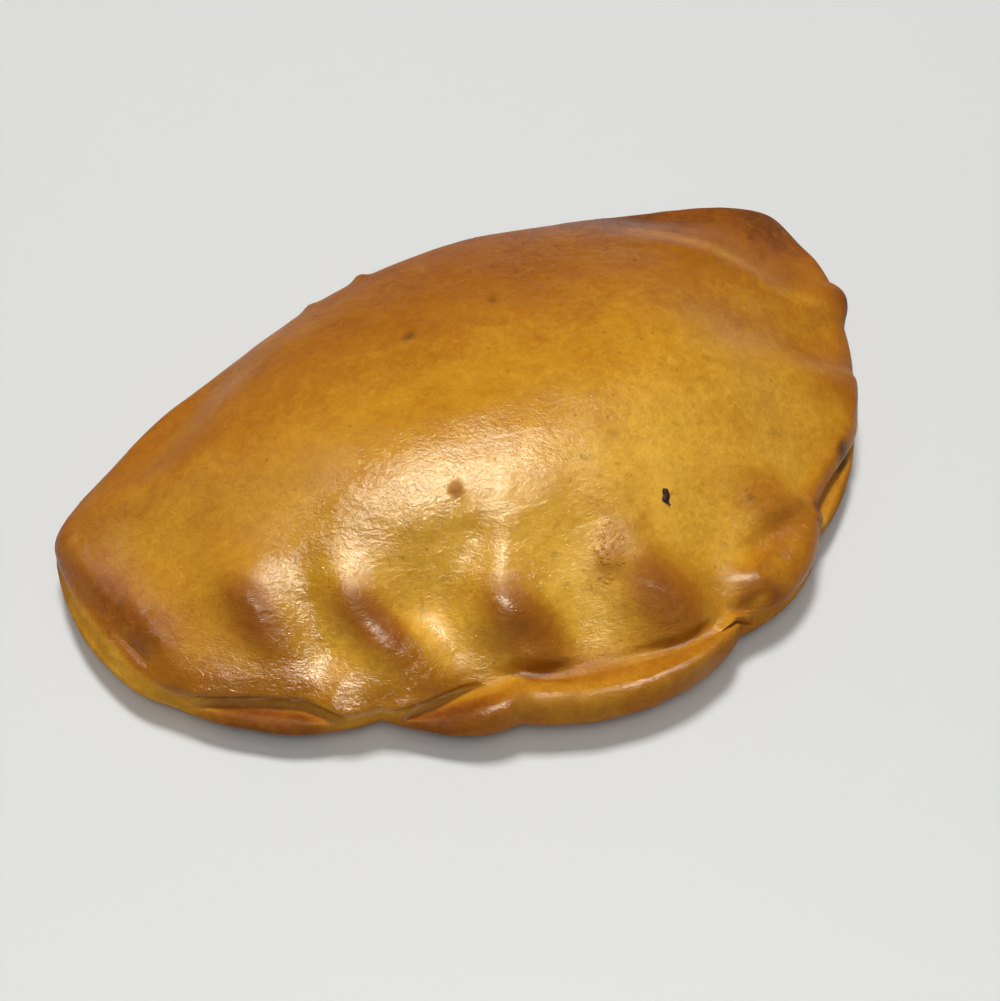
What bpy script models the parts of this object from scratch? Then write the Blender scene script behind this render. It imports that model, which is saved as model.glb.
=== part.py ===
"""Piroshki: one baked half-moon bun, folded at the back and crimped round the front.

The crust is one closed body.  Its plan is worked out from a round front rim, a
bulging fold at the back and two blunt ends; its section runs from the top of the
dome down to the rolled rim, under the lip, round the lower layer of dough and
in to the flat base it rests on.  Metres and degrees, +Z up.
"""

import math

import bmesh
import bpy
import numpy as np

# Plan, about the middle of the line that joins the two ends. Angles run from +X.
RIM_RADIUS = 0.0639            # front rim
FOLD_HALF_LENGTH = 0.0700      # half the chord of the back fold
FOLD_BULGE = 0.0160            # how far the back fold stands behind its chord
FOLD_SHIFT = 0.0027            # the fold's arc sits this far along +X
END_REACH = 0.0689             # blunt ends, across the length
LEFT_END_EXTRA = 0.0030        # the left end reaches this much further
PLAN_POWER = 38                # how tightly the corners of the plan are rounded
DOME_PLAN_POWER = 7            # and those of the dome's inner contours

# Swells of the plan: angle, half width (degrees), extra reach.
RIM_SWELLS = (
    (182, 9.0, 0.0008),
    (200, 21.7, 0.0100),
    (212, 9.0, -0.0004),
    (236, 9.0, -0.0018),
    (268, 18.0, 0.0007),
    (300, 14.0, -0.0004),
    (335, 14.0, 0.0002),
    (352, 9.0, 0.0024),
)
FOLD_SWELL = (94, 64.0, 0.0028)
END_SWELL = (9, 8.0, 0.0040)

# Lobes of the crimped rim: first and last angle, swell, where its peak lies (0 to 1).
LOBES = (
    (209.0, 233.0, 0.0016, 0.55),
    (233.0, 250.6, 0.0022, 0.50),
    (250.6, 282.7, 0.0026, 0.60),
    (282.7, 302.8, 0.0024, 0.55),
    (302.8, 332.1, 0.0009, 0.30),
    (332.1, 339.9, 0.0003, 0.50),
    (339.9, 348.6, 0.0016, 0.60),
)

# Lower layer showing past the lip: first angle, full from, full to, last angle,
# reach past the lip, angle where it comes out from under the lip, crest height.
LAYERS = (
    (207.5, 219.0, 220.5, 230.5, 0.0044, 240.0, 0.0064),
    (232.5, 244.5, 266.0, 291.0, 0.0062, 243.0, 0.0096),
    (302.8, 307.5, 310.0, 322.0, 0.0028, 330.0, 0.0062),
)

# Dome.
HUB = (-0.0048, -0.0260)       # under the top of the dome
TOP_HEIGHT = 0.0320
DOME_POWER = 2.1               # how flat the dome is on top,
FRONT_DOME_POWER = 1.7         # and toward the crimped front
CROWN_FALL = 0.70              # exponents of the dome: near the top,
FRONT_CROWN_FALL = 1.0         # the same toward the front,
BACK_FALL = 0.42               # over the back fold,
END_FALL = 0.84                # above the ends of the rim,
FRONT_FALL = 0.97              # above the middle of the rim
CROWN_HALF_LENGTH = 0.0660     # oval that the top of the dome starts as
CROWN_HALF_WIDTH = 0.0390
CROWN_FOOT = 0.0105
DOME_FRACTIONS = (0.0, 0.16, 0.32, 0.48, 0.64, 0.78, 0.89)

# Back fold, where the dome turns under.
FOLD_HEIGHT = 0.0098           # height of its widest line behind the hub
FOLD_HEIGHT_DROP = 0.0035      # and how much lower that is toward the ends

# Rim section.
RIM_HEIGHT = 0.0106            # foot of the dome, behind the roll of the rim
RIM_WIDTH = 0.0050
LIP_HEIGHT = 0.0088            # crest of the lip
LIP_NOSE_DROP = 0.0013
SIDE_HEIGHT = 0.0052           # widest line of the edge below the lip
LAYER_START_CREST = 0.0054
LAYER_LOW_CREST = 0.0062
UNDERCUT_HEIGHT = 0.0030       # height at which the edge turns in to the base
BASE_INSET = 0.0110            # the flat base starts this far inside the edge

# The left end of the rim is wider, higher and slopes outward.
LEFT_RIM = (178, 197, 216)     # first, fullest and last angle
LEFT_RIM_WIDER = 0.0035
LEFT_RIM_HIGHER = 0.0006
LEFT_LIP_HIGHER = 0.0012
LEFT_WALL_SLOPE = 0.0032

# Left of the middle the lip is a broad apron; to the right of that the rim is a
# roll of dough behind a shallow groove.
APRON = (203, 217, 236, 250)   # first angle, full from, full to, last angle
APRON_WIDER = 0.0030
APRON_HIGHER = 0.0008
GROOVE_DEPTH = 0.00035
GROOVE_NOTCH = (254.5, 5.0, 0.0011)    # angle, half width, extra depth

# Pleats: rim angle and inset of the crest's middle, direction of the crest,
# half length, half width, height.
PLEATS = (
    (214.2, 0.0138, 285, 0.0085, 0.0034, 0.0028),
    (230.8, 0.0108, 296, 0.0085, 0.0033, 0.0036),
    (250.4, 0.0122, 302, 0.0088, 0.0040, 0.0036),
    (272.8, 0.0116, 318, 0.0080, 0.0046, 0.0034),
    (299.5, 0.0085, 330, 0.0070, 0.0046, 0.0020),
)
PLEAT_SOFTNESS = 0.25

# Softer folds and hollows: x, y, direction, half length, half width, height.
SWELLS = (
    (0.0190, -0.0586, 20, 0.0036, 0.0022, 0.0011),      # knot on the rim
    (0.0248, -0.0539, 14, 0.0090, 0.0013, -0.0009),     # crease behind the knot
    (0.0490, -0.0325, -24, 0.0095, 0.0032, 0.0020),     # fold at the right end
    (0.0440, -0.0225, -28, 0.0150, 0.0058, -0.0020),    # hollow above that fold
    (0.0600, -0.0185, -20, 0.0040, 0.0030, 0.0016),     # knob of the right end
)
SWELL_SOFTNESS = 0.60
RELIEF_LEAN = 0.75             # folds rise outward by this much of their rise
RELIEF_SPANS = (7.7, 9.25)     # and fade out between these spans of the section

# Mesh.
COLUMNS = 132
FRONT_DENSITY = 1.9            # columns are this much closer along the rim
ROWS_PER_SPAN = (3, 3, 3, 3, 3, 2, 2, 2, 2, 2, 2, 2, 2, 1, 1, 1, 1)

CRUST_COLOUR = (0.42, 0.18, 0.025, 1.0)
CRUST_ROUGHNESS = 0.38


def step(first, last, value):
    """Smooth rise from 0 at first to 1 at last."""
    t = np.clip((value - first) / (last - first), 0.0, 1.0)
    return t * t * (3.0 - 2.0 * t)


def mix(first, last, share):
    """Blend from first to last."""
    return first * (1.0 - share) + last * share


def degrees(angle):
    """Angle in degrees, 0 to 360."""
    return np.degrees(angle) % 360.0


def away(angle, centre):
    """Signed difference from centre in degrees, -180 to 180."""
    return (np.degrees(angle) - centre + 180.0) % 360.0 - 180.0


def bell(angle, centre, width, power=2):
    """Bell curve round the plan, flatter on top with a higher power."""
    return np.exp(-(np.abs(away(angle, centre)) / width) ** power)


def hump(angle, first, peak, last):
    """0 up to first, 1 at peak, 0 from last."""
    turn = degrees(angle)
    return step(first, peak, turn) * (1.0 - step(peak, last, turn))


def lobe_reach(angle):
    """Extra reach of the crimped rim's lobes."""
    turn = degrees(angle)
    reach = 0.0 * angle
    for first, last, swell, peak in LOBES:
        share = np.clip((turn - first) / (last - first), 0.0, 1.0)
        skew = math.log(0.5) / math.log(peak)
        inside = (share > 0.0) & (share < 1.0)
        wave = np.sin(math.pi * share ** skew)
        reach = reach + np.where(inside, swell * np.abs(wave) ** 0.8, 0.0)
    return reach


def smooth_reach(angle, power=PLAN_POWER):
    """Reach of the plan without the lobes."""
    cosine = np.cos(angle)
    sine = np.sin(angle)
    rim = RIM_RADIUS + 0.0 * angle
    for centre, width, extra in RIM_SWELLS:
        rim = rim + extra * bell(angle, centre, width)
    radius = (FOLD_HALF_LENGTH ** 2 + FOLD_BULGE ** 2) / (2.0 * FOLD_BULGE)
    middle = FOLD_BULGE - radius
    along = FOLD_SHIFT * cosine + middle * sine
    fold = along + np.sqrt(radius ** 2 - FOLD_SHIFT ** 2 - middle ** 2 + along ** 2)
    centre, width, extra = FOLD_SWELL
    fold = fold + extra * bell(angle, centre, width, 6)
    end = END_REACH / np.maximum(np.abs(cosine), 0.001)
    end = end + LEFT_END_EXTRA * (cosine < 0.0) + END_SWELL[2] * bell(angle, *END_SWELL[:2])
    total = rim ** -power + fold ** -power + end ** -power
    return total ** (-1.0 / power)


def outline_point(angle, reach):
    """Plan point at an angle and reach about the middle of the chord."""
    return np.stack([reach * np.cos(angle), reach * np.sin(angle)], -1)


def rim_share(angle, first, last):
    """1 along the crimped rim, 0 along the back fold."""
    return 1.0 - step(first, last, np.abs(away(angle, 270.0)))


def layer_state(angle):
    """How the lower layer shows along the rim.

    Returns its reach past the lip, how far the lip hangs over it (0 to 1) and
    the height of its crest.
    """
    turn = degrees(angle)
    reach = 0.0 * angle
    hang = 0.0 * angle
    crest = LAYER_START_CREST + 0.0 * angle
    for first, full, fade, last, past, out_at, top in LAYERS:
        shown = step(first, full, turn) * (1.0 - step(fade, last, turn))
        inside = (turn > first) & (turn < last)
        out = step(out_at - 5.0, out_at + 6.0, turn)
        reach = reach + past * shown
        hang = np.where(inside, 1.0 - out, hang)
        rise = mix(LAYER_LOW_CREST, top, out) - LAYER_START_CREST
        crest = np.where(inside, LAYER_START_CREST + step(0.0, 0.5, shown) * rise, crest)
    return reach, hang, crest


def section_points(angle):
    """Control points of every section, from the top of the dome to the base.

    Returns the points as distance from the hub and height, and each section's
    direction in plan.
    """
    hub = np.array(HUB)
    smooth = smooth_reach(angle)
    to_edge = outline_point(angle, smooth + lobe_reach(angle)) - hub
    edge = np.linalg.norm(to_edge, axis=-1)
    heading = to_edge / edge[:, None]
    body = np.linalg.norm(outline_point(angle, smooth) - hub, axis=-1)
    round_reach = smooth_reach(angle, DOME_PLAN_POWER)
    round_body = np.linalg.norm(outline_point(angle, round_reach) - hub, axis=-1)

    turn = degrees(angle)
    rim = rim_share(angle, 86.0, 100.0)
    wide_rim = rim_share(angle, 80.0, 115.0)
    inner_rim = rim_share(angle, 45.0, 145.0)
    front = step(200.0, 216.0, turn) * (1.0 - step(300.0, 335.0, turn))
    left = hump(angle, *LEFT_RIM)
    apron = step(*APRON[:2], turn) * (1.0 - step(*APRON[2:], turn))
    past, hang, crest = layer_state(angle)
    shown = step(0.0002, 0.0018, past)
    rolled = shown * (1.0 - hang)

    fold = FOLD_HEIGHT - FOLD_HEIGHT_DROP * heading[:, 0] ** 2
    width = RIM_WIDTH + LEFT_RIM_WIDER * left + APRON_WIDER * apron
    slope = LEFT_WALL_SLOPE * left
    foot = RIM_HEIGHT + LEFT_RIM_HIGHER * left
    lip = LIP_HEIGHT + 0.0006 * hang * shown + LEFT_LIP_HIGHER * left
    roll_room = 0.0026 * step(232.0, 245.0, turn) * (1.0 - step(268.0, 285.0, turn))
    shelf = rim * (width + 0.0015 + 0.6 * slope + roll_room)
    inner = body - shelf
    round_inner = round_body - shelf
    rest = mix(fold, foot, rim)
    front_fall = (FRONT_FALL - END_FALL) * front
    fall = BACK_FALL + (END_FALL - BACK_FALL) * wide_rim + front_fall
    inner_fall = BACK_FALL + (END_FALL - BACK_FALL) * inner_rim + front_fall
    oval = np.hypot(heading[:, 0] / CROWN_HALF_LENGTH, heading[:, 1] / CROWN_HALF_WIDTH)
    front_side = step(185.0, 235.0, turn) * (1.0 - step(290.0, 340.0, turn))
    dome_power = mix(DOME_POWER, FRONT_DOME_POWER, front_side)
    crown_fall = mix(CROWN_FALL, FRONT_CROWN_FALL, front_side)

    points = []

    def add(front_point, back_point):
        """One control point, blended between the rim's and the back fold's."""
        pair = [np.stack([part[0] + 0.0 * edge, part[1] + 0.0 * edge], -1)
                for part in (front_point, back_point)]
        points.append(mix(pair[1], pair[0], rim[:, None]))

    def back_height(share):
        """Height of the dome over the back fold."""
        return fold + (TOP_HEIGHT - fold) * (1.0 - share ** DOME_POWER) ** BACK_FALL

    for share in DOME_FRACTIONS:
        outward = step(0.0, 0.80, share)
        outer = step(0.45, 1.0, share)
        low = mix(CROWN_FOOT, rest, outward)
        power = mix(crown_fall, mix(inner_fall, fall, outer), outward)
        height = low + (TOP_HEIGHT - low) * (1.0 - share ** dome_power) ** power
        reach = mix(1.0 / oval, mix(round_inner, inner, outer), outward)
        point = (share * reach, height)
        add(point, point)

    nose = edge - past - slope
    groove = GROOVE_DEPTH + GROOVE_NOTCH[2] * bell(angle, *GROOVE_NOTCH[:2])
    foot_reach = np.maximum(nose - 0.75 * width, 0.95 * inner)
    foot_height = foot + 0.0002 + 0.0012 * left + APRON_HIGHER * apron
    add((foot_reach, mix(foot_height, foot - 0.0001, rolled)),
        (0.965 * body, back_height(0.965)))
    crest_reach = nose - mix(0.0009 + 0.0015 * left + 0.0009 * apron, 0.0018, rolled)
    crest_height = lip + mix(0.00025 + 0.0006 * left, 0.00055 - 0.2 * groove, rolled)
    add((crest_reach, crest_height), (0.99 * body, back_height(0.99)))
    nose_drop = mix(LIP_NOSE_DROP, 0.7 * groove - 0.0004, rolled)
    add((nose - 0.0003 * rolled, lip - nose_drop), (body, fold))
    tuck = mix(0.42 * slope - 0.0001, mix(0.0009, -0.0015, hang), shown)
    tuck_height = lip - mix(0.0022, mix(groove - 0.0004, 0.0030, hang), shown)
    add((nose + tuck, tuck_height), (body - 0.0003, fold - 0.0026))
    side = edge - 0.00015 - 0.15 * slope
    add((mix(side, nose + 0.34 * past, shown),
         mix(SIDE_HEIGHT + 0.0007, crest - mix(0.0005, 0.0001, hang), shown)),
        (body - 0.0008, 0.50 * fold))
    add((mix(edge - 0.00005, nose + 0.66 * past, shown), mix(SIDE_HEIGHT, crest, shown)),
        (body - 0.0013, 0.36 * fold))
    add((edge, SIDE_HEIGHT - 0.0007), (body - 0.0021, 0.24 * fold))
    add((edge - 0.0012, UNDERCUT_HEIGHT), (body - 0.0032, 0.13 * fold))
    add((edge - 0.0050, 0.45 * UNDERCUT_HEIGHT), (body - 0.0048, 0.06 * fold))
    add((edge - 0.0085, 0.10 * UNDERCUT_HEIGHT), (body - 0.0068, 0.02 * fold))
    add((edge - BASE_INSET, 0.0), (body - 0.0090, 0.0))
    return np.array(points), heading


def smooth_curve(points, rows_per_span):
    """Curves through the control points, level at the top of the dome."""
    tiny = 1e-9
    count = len(points)
    rows = []
    for index in range(count - 1):
        here, there = points[index], points[index + 1]
        before = points[index - 1] if index > 0 else there * (-1.0, 1.0)
        after = points[index + 2] if index < count - 2 else 2.0 * there - here
        span = np.linalg.norm(there - here, axis=-1, keepdims=True) + tiny
        span_before = np.linalg.norm(here - before, axis=-1, keepdims=True) + tiny
        span_after = np.linalg.norm(after - there, axis=-1, keepdims=True) + tiny
        start = (there - here) / span * span_before + (here - before) / span_before * span
        start = start / (span_before + span) * span
        finish = (after - there) / span_after * span + (there - here) / span * span_after
        finish = finish / (span + span_after) * span
        for number in range(rows_per_span[index]):
            t = number / rows_per_span[index]
            rows.append((2 * t ** 3 - 3 * t ** 2 + 1) * here
                        + (t ** 3 - 2 * t ** 2 + t) * start
                        + (3 * t ** 2 - 2 * t ** 3) * there
                        + (t ** 3 - t ** 2) * finish)
    rows.append(points[-1])
    return np.array(rows)


def column_angles(count):
    """Angles of the columns, even along the outline and closer along the rim."""
    angle = np.linspace(0.0, 2.0 * math.pi, 7201)
    point = outline_point(angle, smooth_reach(angle) + lobe_reach(angle))
    length = np.linalg.norm(np.diff(point, axis=0), axis=-1)
    middle = degrees(0.5 * (angle[1:] + angle[:-1]))
    crimped = np.maximum(step(172.0, 185.0, middle), middle < 10.0)
    weight = 1.0 + (FRONT_DENSITY - 1.0) * crimped
    total = np.concatenate([[0.0], np.cumsum(length * weight)])
    return np.interp(np.arange(count) / count * total[-1], total, angle)


def ridge(x, y, centre_x, centre_y, direction, length, width, height, softness):
    """Height of one fold over the plan, with a crest of the given softness."""
    turn = math.radians(direction)
    along = (x - centre_x) * math.cos(turn) + (y - centre_y) * math.sin(turn)
    across = (y - centre_y) * math.cos(turn) - (x - centre_x) * math.sin(turn)
    side = np.sqrt((across / width) ** 2 + softness ** 2) - softness
    return height * np.exp(-np.abs(along / length) ** 2.5 - side ** 1.5)


def relief(x, y):
    """Height of the pleats, folds and hollows over the plan."""
    total = 0.0 * x
    for turn, inset, direction, length, width, height in PLEATS:
        angle = np.array([math.radians(turn)])
        reach = (smooth_reach(angle) + lobe_reach(angle))[0] - inset
        middle_x = reach * math.cos(angle[0])
        middle_y = reach * math.sin(angle[0])
        total = total + ridge(x, y, middle_x, middle_y, direction,
                              length, width, height, PLEAT_SOFTNESS)
    for centre_x, centre_y, direction, length, width, height in SWELLS:
        total = total + ridge(x, y, centre_x, centre_y, direction,
                              length, width, height, SWELL_SOFTNESS)
    return total


def crust_lattice(columns, rows_per_span):
    """Points of the crust, rows from the top to the base by columns round it."""
    points, heading = section_points(column_angles(columns))
    curve = smooth_curve(points, rows_per_span)
    x = HUB[0] + curve[..., 0] * heading[:, 0]
    y = HUB[1] + curve[..., 0] * heading[:, 1]
    spans = np.repeat(np.arange(len(rows_per_span)), rows_per_span)
    inside = np.concatenate([np.arange(count) / count for count in rows_per_span])
    level = np.append(spans + inside, len(rows_per_span))
    height = relief(x, y) * (1.0 - step(*RELIEF_SPANS, level))[:, None]
    lean = np.append(RELIEF_LEAN * heading, np.ones((columns, 1)), axis=1)
    lean = lean / np.linalg.norm(lean, axis=-1, keepdims=True)
    return np.stack([x, y, curve[..., 1]], -1) + lean[None] * height[..., None]


def centred(lattice):
    """The lattice with the middle of its plan at the origin."""
    middle = 0.5 * (lattice.min(axis=(0, 1)) + lattice.max(axis=(0, 1)))
    return lattice - np.array([middle[0], middle[1], 0.0])


def crust_object(collection):
    """The crust, a sphere's net of faces drawn onto the lattice."""
    lattice = centred(crust_lattice(COLUMNS, ROWS_PER_SPAN))
    rings = len(lattice) - 1
    net = bmesh.new()
    bmesh.ops.create_uvsphere(net, u_segments=COLUMNS, v_segments=rings + 1, radius=1.0)
    base_centre = lattice[-1].mean(axis=0)
    for vertex in net.verts:
        x, y, z = vertex.co
        row = round(math.acos(max(-1.0, min(1.0, z))) / math.pi * (rings + 1))
        column = round(math.atan2(y, x) / (2.0 * math.pi) * COLUMNS) % COLUMNS
        vertex.co = base_centre if row > rings else lattice[row, column]
    bmesh.ops.triangulate(net, faces=net.faces[:], quad_method="SHORT_EDGE")
    bmesh.ops.recalc_face_normals(net, faces=net.faces[:])
    mesh = bpy.data.meshes.new("piroshki")
    net.to_mesh(mesh)
    net.free()
    mesh.shade_smooth()
    mesh.materials.append(crust_material())
    crust = bpy.data.objects.new("piroshki", mesh)
    collection.objects.link(crust)
    return crust


def crust_material():
    """Egg-washed golden crust."""
    material = bpy.data.materials.new("crust")
    material.use_nodes = True
    shader = material.node_tree.nodes["Principled BSDF"]
    shader.inputs["Base Color"].default_value = CRUST_COLOUR
    shader.inputs["Roughness"].default_value = CRUST_ROUGHNESS
    shader.inputs["Metallic"].default_value = 0.0
    material.diffuse_color = CRUST_COLOUR
    return material


def main():
    """Clear the scene and build the piroshki."""
    for item in list(bpy.data.objects):
        bpy.data.objects.remove(item, do_unlink=True)
    collection = bpy.data.collections.new("piroshki")
    bpy.context.scene.collection.children.link(collection)
    crust_object(collection)


main()
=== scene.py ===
"""Looks of a baked piroshki: a half-moon bun with a crimped, egg-washed crust.

The crust is drawn from the same named sizes as its solid, with far more points,
and gets the dough's fine relief, its browning with painted shade along the groove
above the roll, and its glaze and grain.  Fine blisters are scattered over it, a
charred fleck lies on it, and a plain pale table is under it.
"""

import logging
import math
from dataclasses import dataclass, field
from enum import Enum
from typing import Any, Iterable, Optional, Sequence, Union

import bpy
import numpy as np
from mathutils import Matrix, Vector

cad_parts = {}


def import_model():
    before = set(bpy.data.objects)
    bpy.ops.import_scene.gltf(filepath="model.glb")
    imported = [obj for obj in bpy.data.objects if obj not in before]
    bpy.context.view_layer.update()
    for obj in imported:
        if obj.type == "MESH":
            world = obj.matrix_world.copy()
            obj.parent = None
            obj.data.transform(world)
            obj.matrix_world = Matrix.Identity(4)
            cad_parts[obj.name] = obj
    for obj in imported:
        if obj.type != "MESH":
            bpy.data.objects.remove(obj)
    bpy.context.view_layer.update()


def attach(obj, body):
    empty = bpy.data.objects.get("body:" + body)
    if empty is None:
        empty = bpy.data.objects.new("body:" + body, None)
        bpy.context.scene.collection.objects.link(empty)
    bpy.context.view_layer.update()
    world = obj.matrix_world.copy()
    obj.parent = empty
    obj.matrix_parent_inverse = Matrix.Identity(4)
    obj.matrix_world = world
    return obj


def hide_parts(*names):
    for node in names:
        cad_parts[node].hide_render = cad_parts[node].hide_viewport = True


Array = np.ndarray
Colour = tuple[float, float, float]
Number = Union[int, float]
Place = tuple[float, float, float]
Span = tuple[float, float]
Zone = tuple[float, float, float, float]

NODE = "piroshki"
BODY = "root"
LOG = logging.getLogger("piroshki")

RIM_MIDDLE = 270.0  # direction of the crimped rim's middle in plan, in degrees
LIP_LEVEL = 9.0  # level of the lip's nose; levels count the sections' control points


# --- small maths ------------------------------------------------------------


def step(first: Number, last: Number, value: Array) -> Array:
    """Smooth rise from 0 at first to 1 at last."""
    t = np.clip((value - first) / (last - first), 0.0, 1.0)
    return t * t * (3.0 - 2.0 * t)


def mix(first: Any, last: Any, share: Any) -> Any:
    """Blend from first to last."""
    return first * (1.0 - share) + last * share


def degrees(angle: Array) -> Array:
    """Angle in degrees, 0 to 360."""
    return np.degrees(angle) % 360.0


def away(angle: Array, centre: float) -> Array:
    """Signed difference from centre in degrees, -180 to 180."""
    return (np.degrees(angle) - centre + 180.0) % 360.0 - 180.0


def bell(angle: Array, centre: float, width: float, power: float = 2.0) -> Array:
    """Bell curve round the plan, flatter on top with a higher power."""
    return np.exp(-((np.abs(away(angle, centre)) / width) ** power))


def plateau(value: Array, first: float, full: float, fade: float, last: float) -> Array:
    """0 up to first, 1 from full to fade, 0 from last."""
    return step(first, full, value) * (1.0 - step(fade, last, value))


def rim_share(angle: Array, first: float, last: float) -> Array:
    """1 along the crimped rim, 0 along the back fold."""
    return 1.0 - step(first, last, np.abs(away(angle, RIM_MIDDLE)))


def lattice_noise(points: Array, size: float, seed: int) -> Array:
    """Smooth noise from -1 to 1, with features of the given size.

    Args:
        points: Places to read, as rows of x, y and z in metres.
        size: Spacing of the noise's cells in metres.
        seed: Fixed number that chooses the pattern.

    Returns:
        One value for each place.
    """
    cells = points / size
    base = np.floor(cells).astype(np.int64)
    part = cells - base
    part = part * part * part * (part * (part * 6.0 - 15.0) + 10.0)
    total = np.zeros(points.shape[:-1])
    for corner in range(8):
        offset = np.array([corner & 1, corner >> 1 & 1, corner >> 2 & 1])
        spot = base + offset
        mixed = spot[..., 0] * 73856093 ^ spot[..., 1] * 19349663
        mixed = mixed ^ spot[..., 2] * 83492791 ^ seed * 2654435761
        mixed = (mixed ^ mixed >> 13) * 1274126177 & 0xFFFFFFFF
        mixed = (mixed ^ mixed >> 16) & 0xFFFFFF
        share = np.where(offset == 1, part, 1.0 - part).prod(axis=-1)
        total = total + share * (mixed / 0x7FFFFF - 1.0)
    return total


# --- the form ---------------------------------------------------------------


@dataclass(frozen=True)
class Swell:
    """A swell of the plan: its angle, half width in degrees, reach and flatness."""

    angle: float
    width: float
    reach: float
    power: float = 2.0

    def at(self, angle: Array) -> Array:
        """Extra reach at the given angles."""
        return self.reach * bell(angle, self.angle, self.width, self.power)


@dataclass(frozen=True)
class Lobe:
    """One lobe of the crimped rim, between two notches."""

    first: float
    last: float
    swell: float
    peak: float
    bluntness: float = 0.8

    def at(self, angle: Array) -> Array:
        """Extra reach of the lobe.

        Args:
            angle: Angles round the plan, in radians.

        Returns:
            One value for each angle.
        """
        share = np.clip((degrees(angle) - self.first) / (self.last - self.first), 0.0, 1.0)
        skew = math.log(0.5) / math.log(self.peak)
        wave = np.abs(np.sin(math.pi * share**skew)) ** self.bluntness
        return np.where((share > 0.0) & (share < 1.0), self.swell * wave, 0.0)


@dataclass(frozen=True)
class LowerLayer:
    """A stretch of the lower layer of dough that shows past the lip.

    It grows from first to full, fades from fade to last, and comes out from
    under the lip at out_at, all in degrees round the plan.
    """

    first: float
    full: float
    fade: float
    last: float
    reach: float
    out_at: float
    crest: float


@dataclass(frozen=True)
class Mark:
    """An oval place of the crust in plan, drawn out along a direction in degrees."""

    x: float
    y: float
    direction: float
    length: float
    width: float

    def shares(self, x: Array, y: Array) -> tuple[Array, Array]:
        """Distances along and across the mark.

        Args:
            x: Places of the plan.
            y: Places of the plan.

        Returns:
            The distances, as shares of the mark's length and width.
        """
        turn = math.radians(self.direction)
        along = (x - self.x) * math.cos(turn) + (y - self.y) * math.sin(turn)
        across = (y - self.y) * math.cos(turn) - (x - self.x) * math.sin(turn)
        return along / self.length, across / self.width


@dataclass(frozen=True)
class Fold(Mark):
    """A raised fold or a hollow of the crust.

    Its height is negative for a hollow, and a small softness makes a sharp crest.
    """

    height: float
    softness: float = 0.60
    end_power: float = 2.5

    def at(self, x: Array, y: Array) -> Array:
        """Height of the fold.

        Args:
            x: Places of the plan.
            y: Places of the plan.

        Returns:
            The height over each place.
        """
        along, across = self.shares(x, y)
        side = np.sqrt(across**2 + self.softness**2) - self.softness
        return self.height * np.exp(-(np.abs(along) ** self.end_power) - side**1.5)


def heap(marks: Iterable[Any], x: Array, y: Array) -> Array:
    """Sum of folds or patches over the given places of the plan."""
    return sum(mark.at(x, y) for mark in marks)


@dataclass(frozen=True)
class Pleat:
    """A pinched pleat, placed by its rim angle and its inset from the rim."""

    angle: float
    inset: float
    direction: float
    length: float
    width: float
    height: float
    softness: float = 0.25

    def fold(self, plan: "Plan") -> Fold:
        """The pleat as a fold placed in the plan.

        Args:
            plan: Outline that the pleat stands in from.

        Returns:
            The fold.
        """
        angle = math.radians(self.angle)
        reach = plan.reach(np.array([angle]))[0] - self.inset
        return Fold(reach * math.cos(angle), reach * math.sin(angle), self.direction,
                    self.length, self.width, self.height, self.softness)


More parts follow.
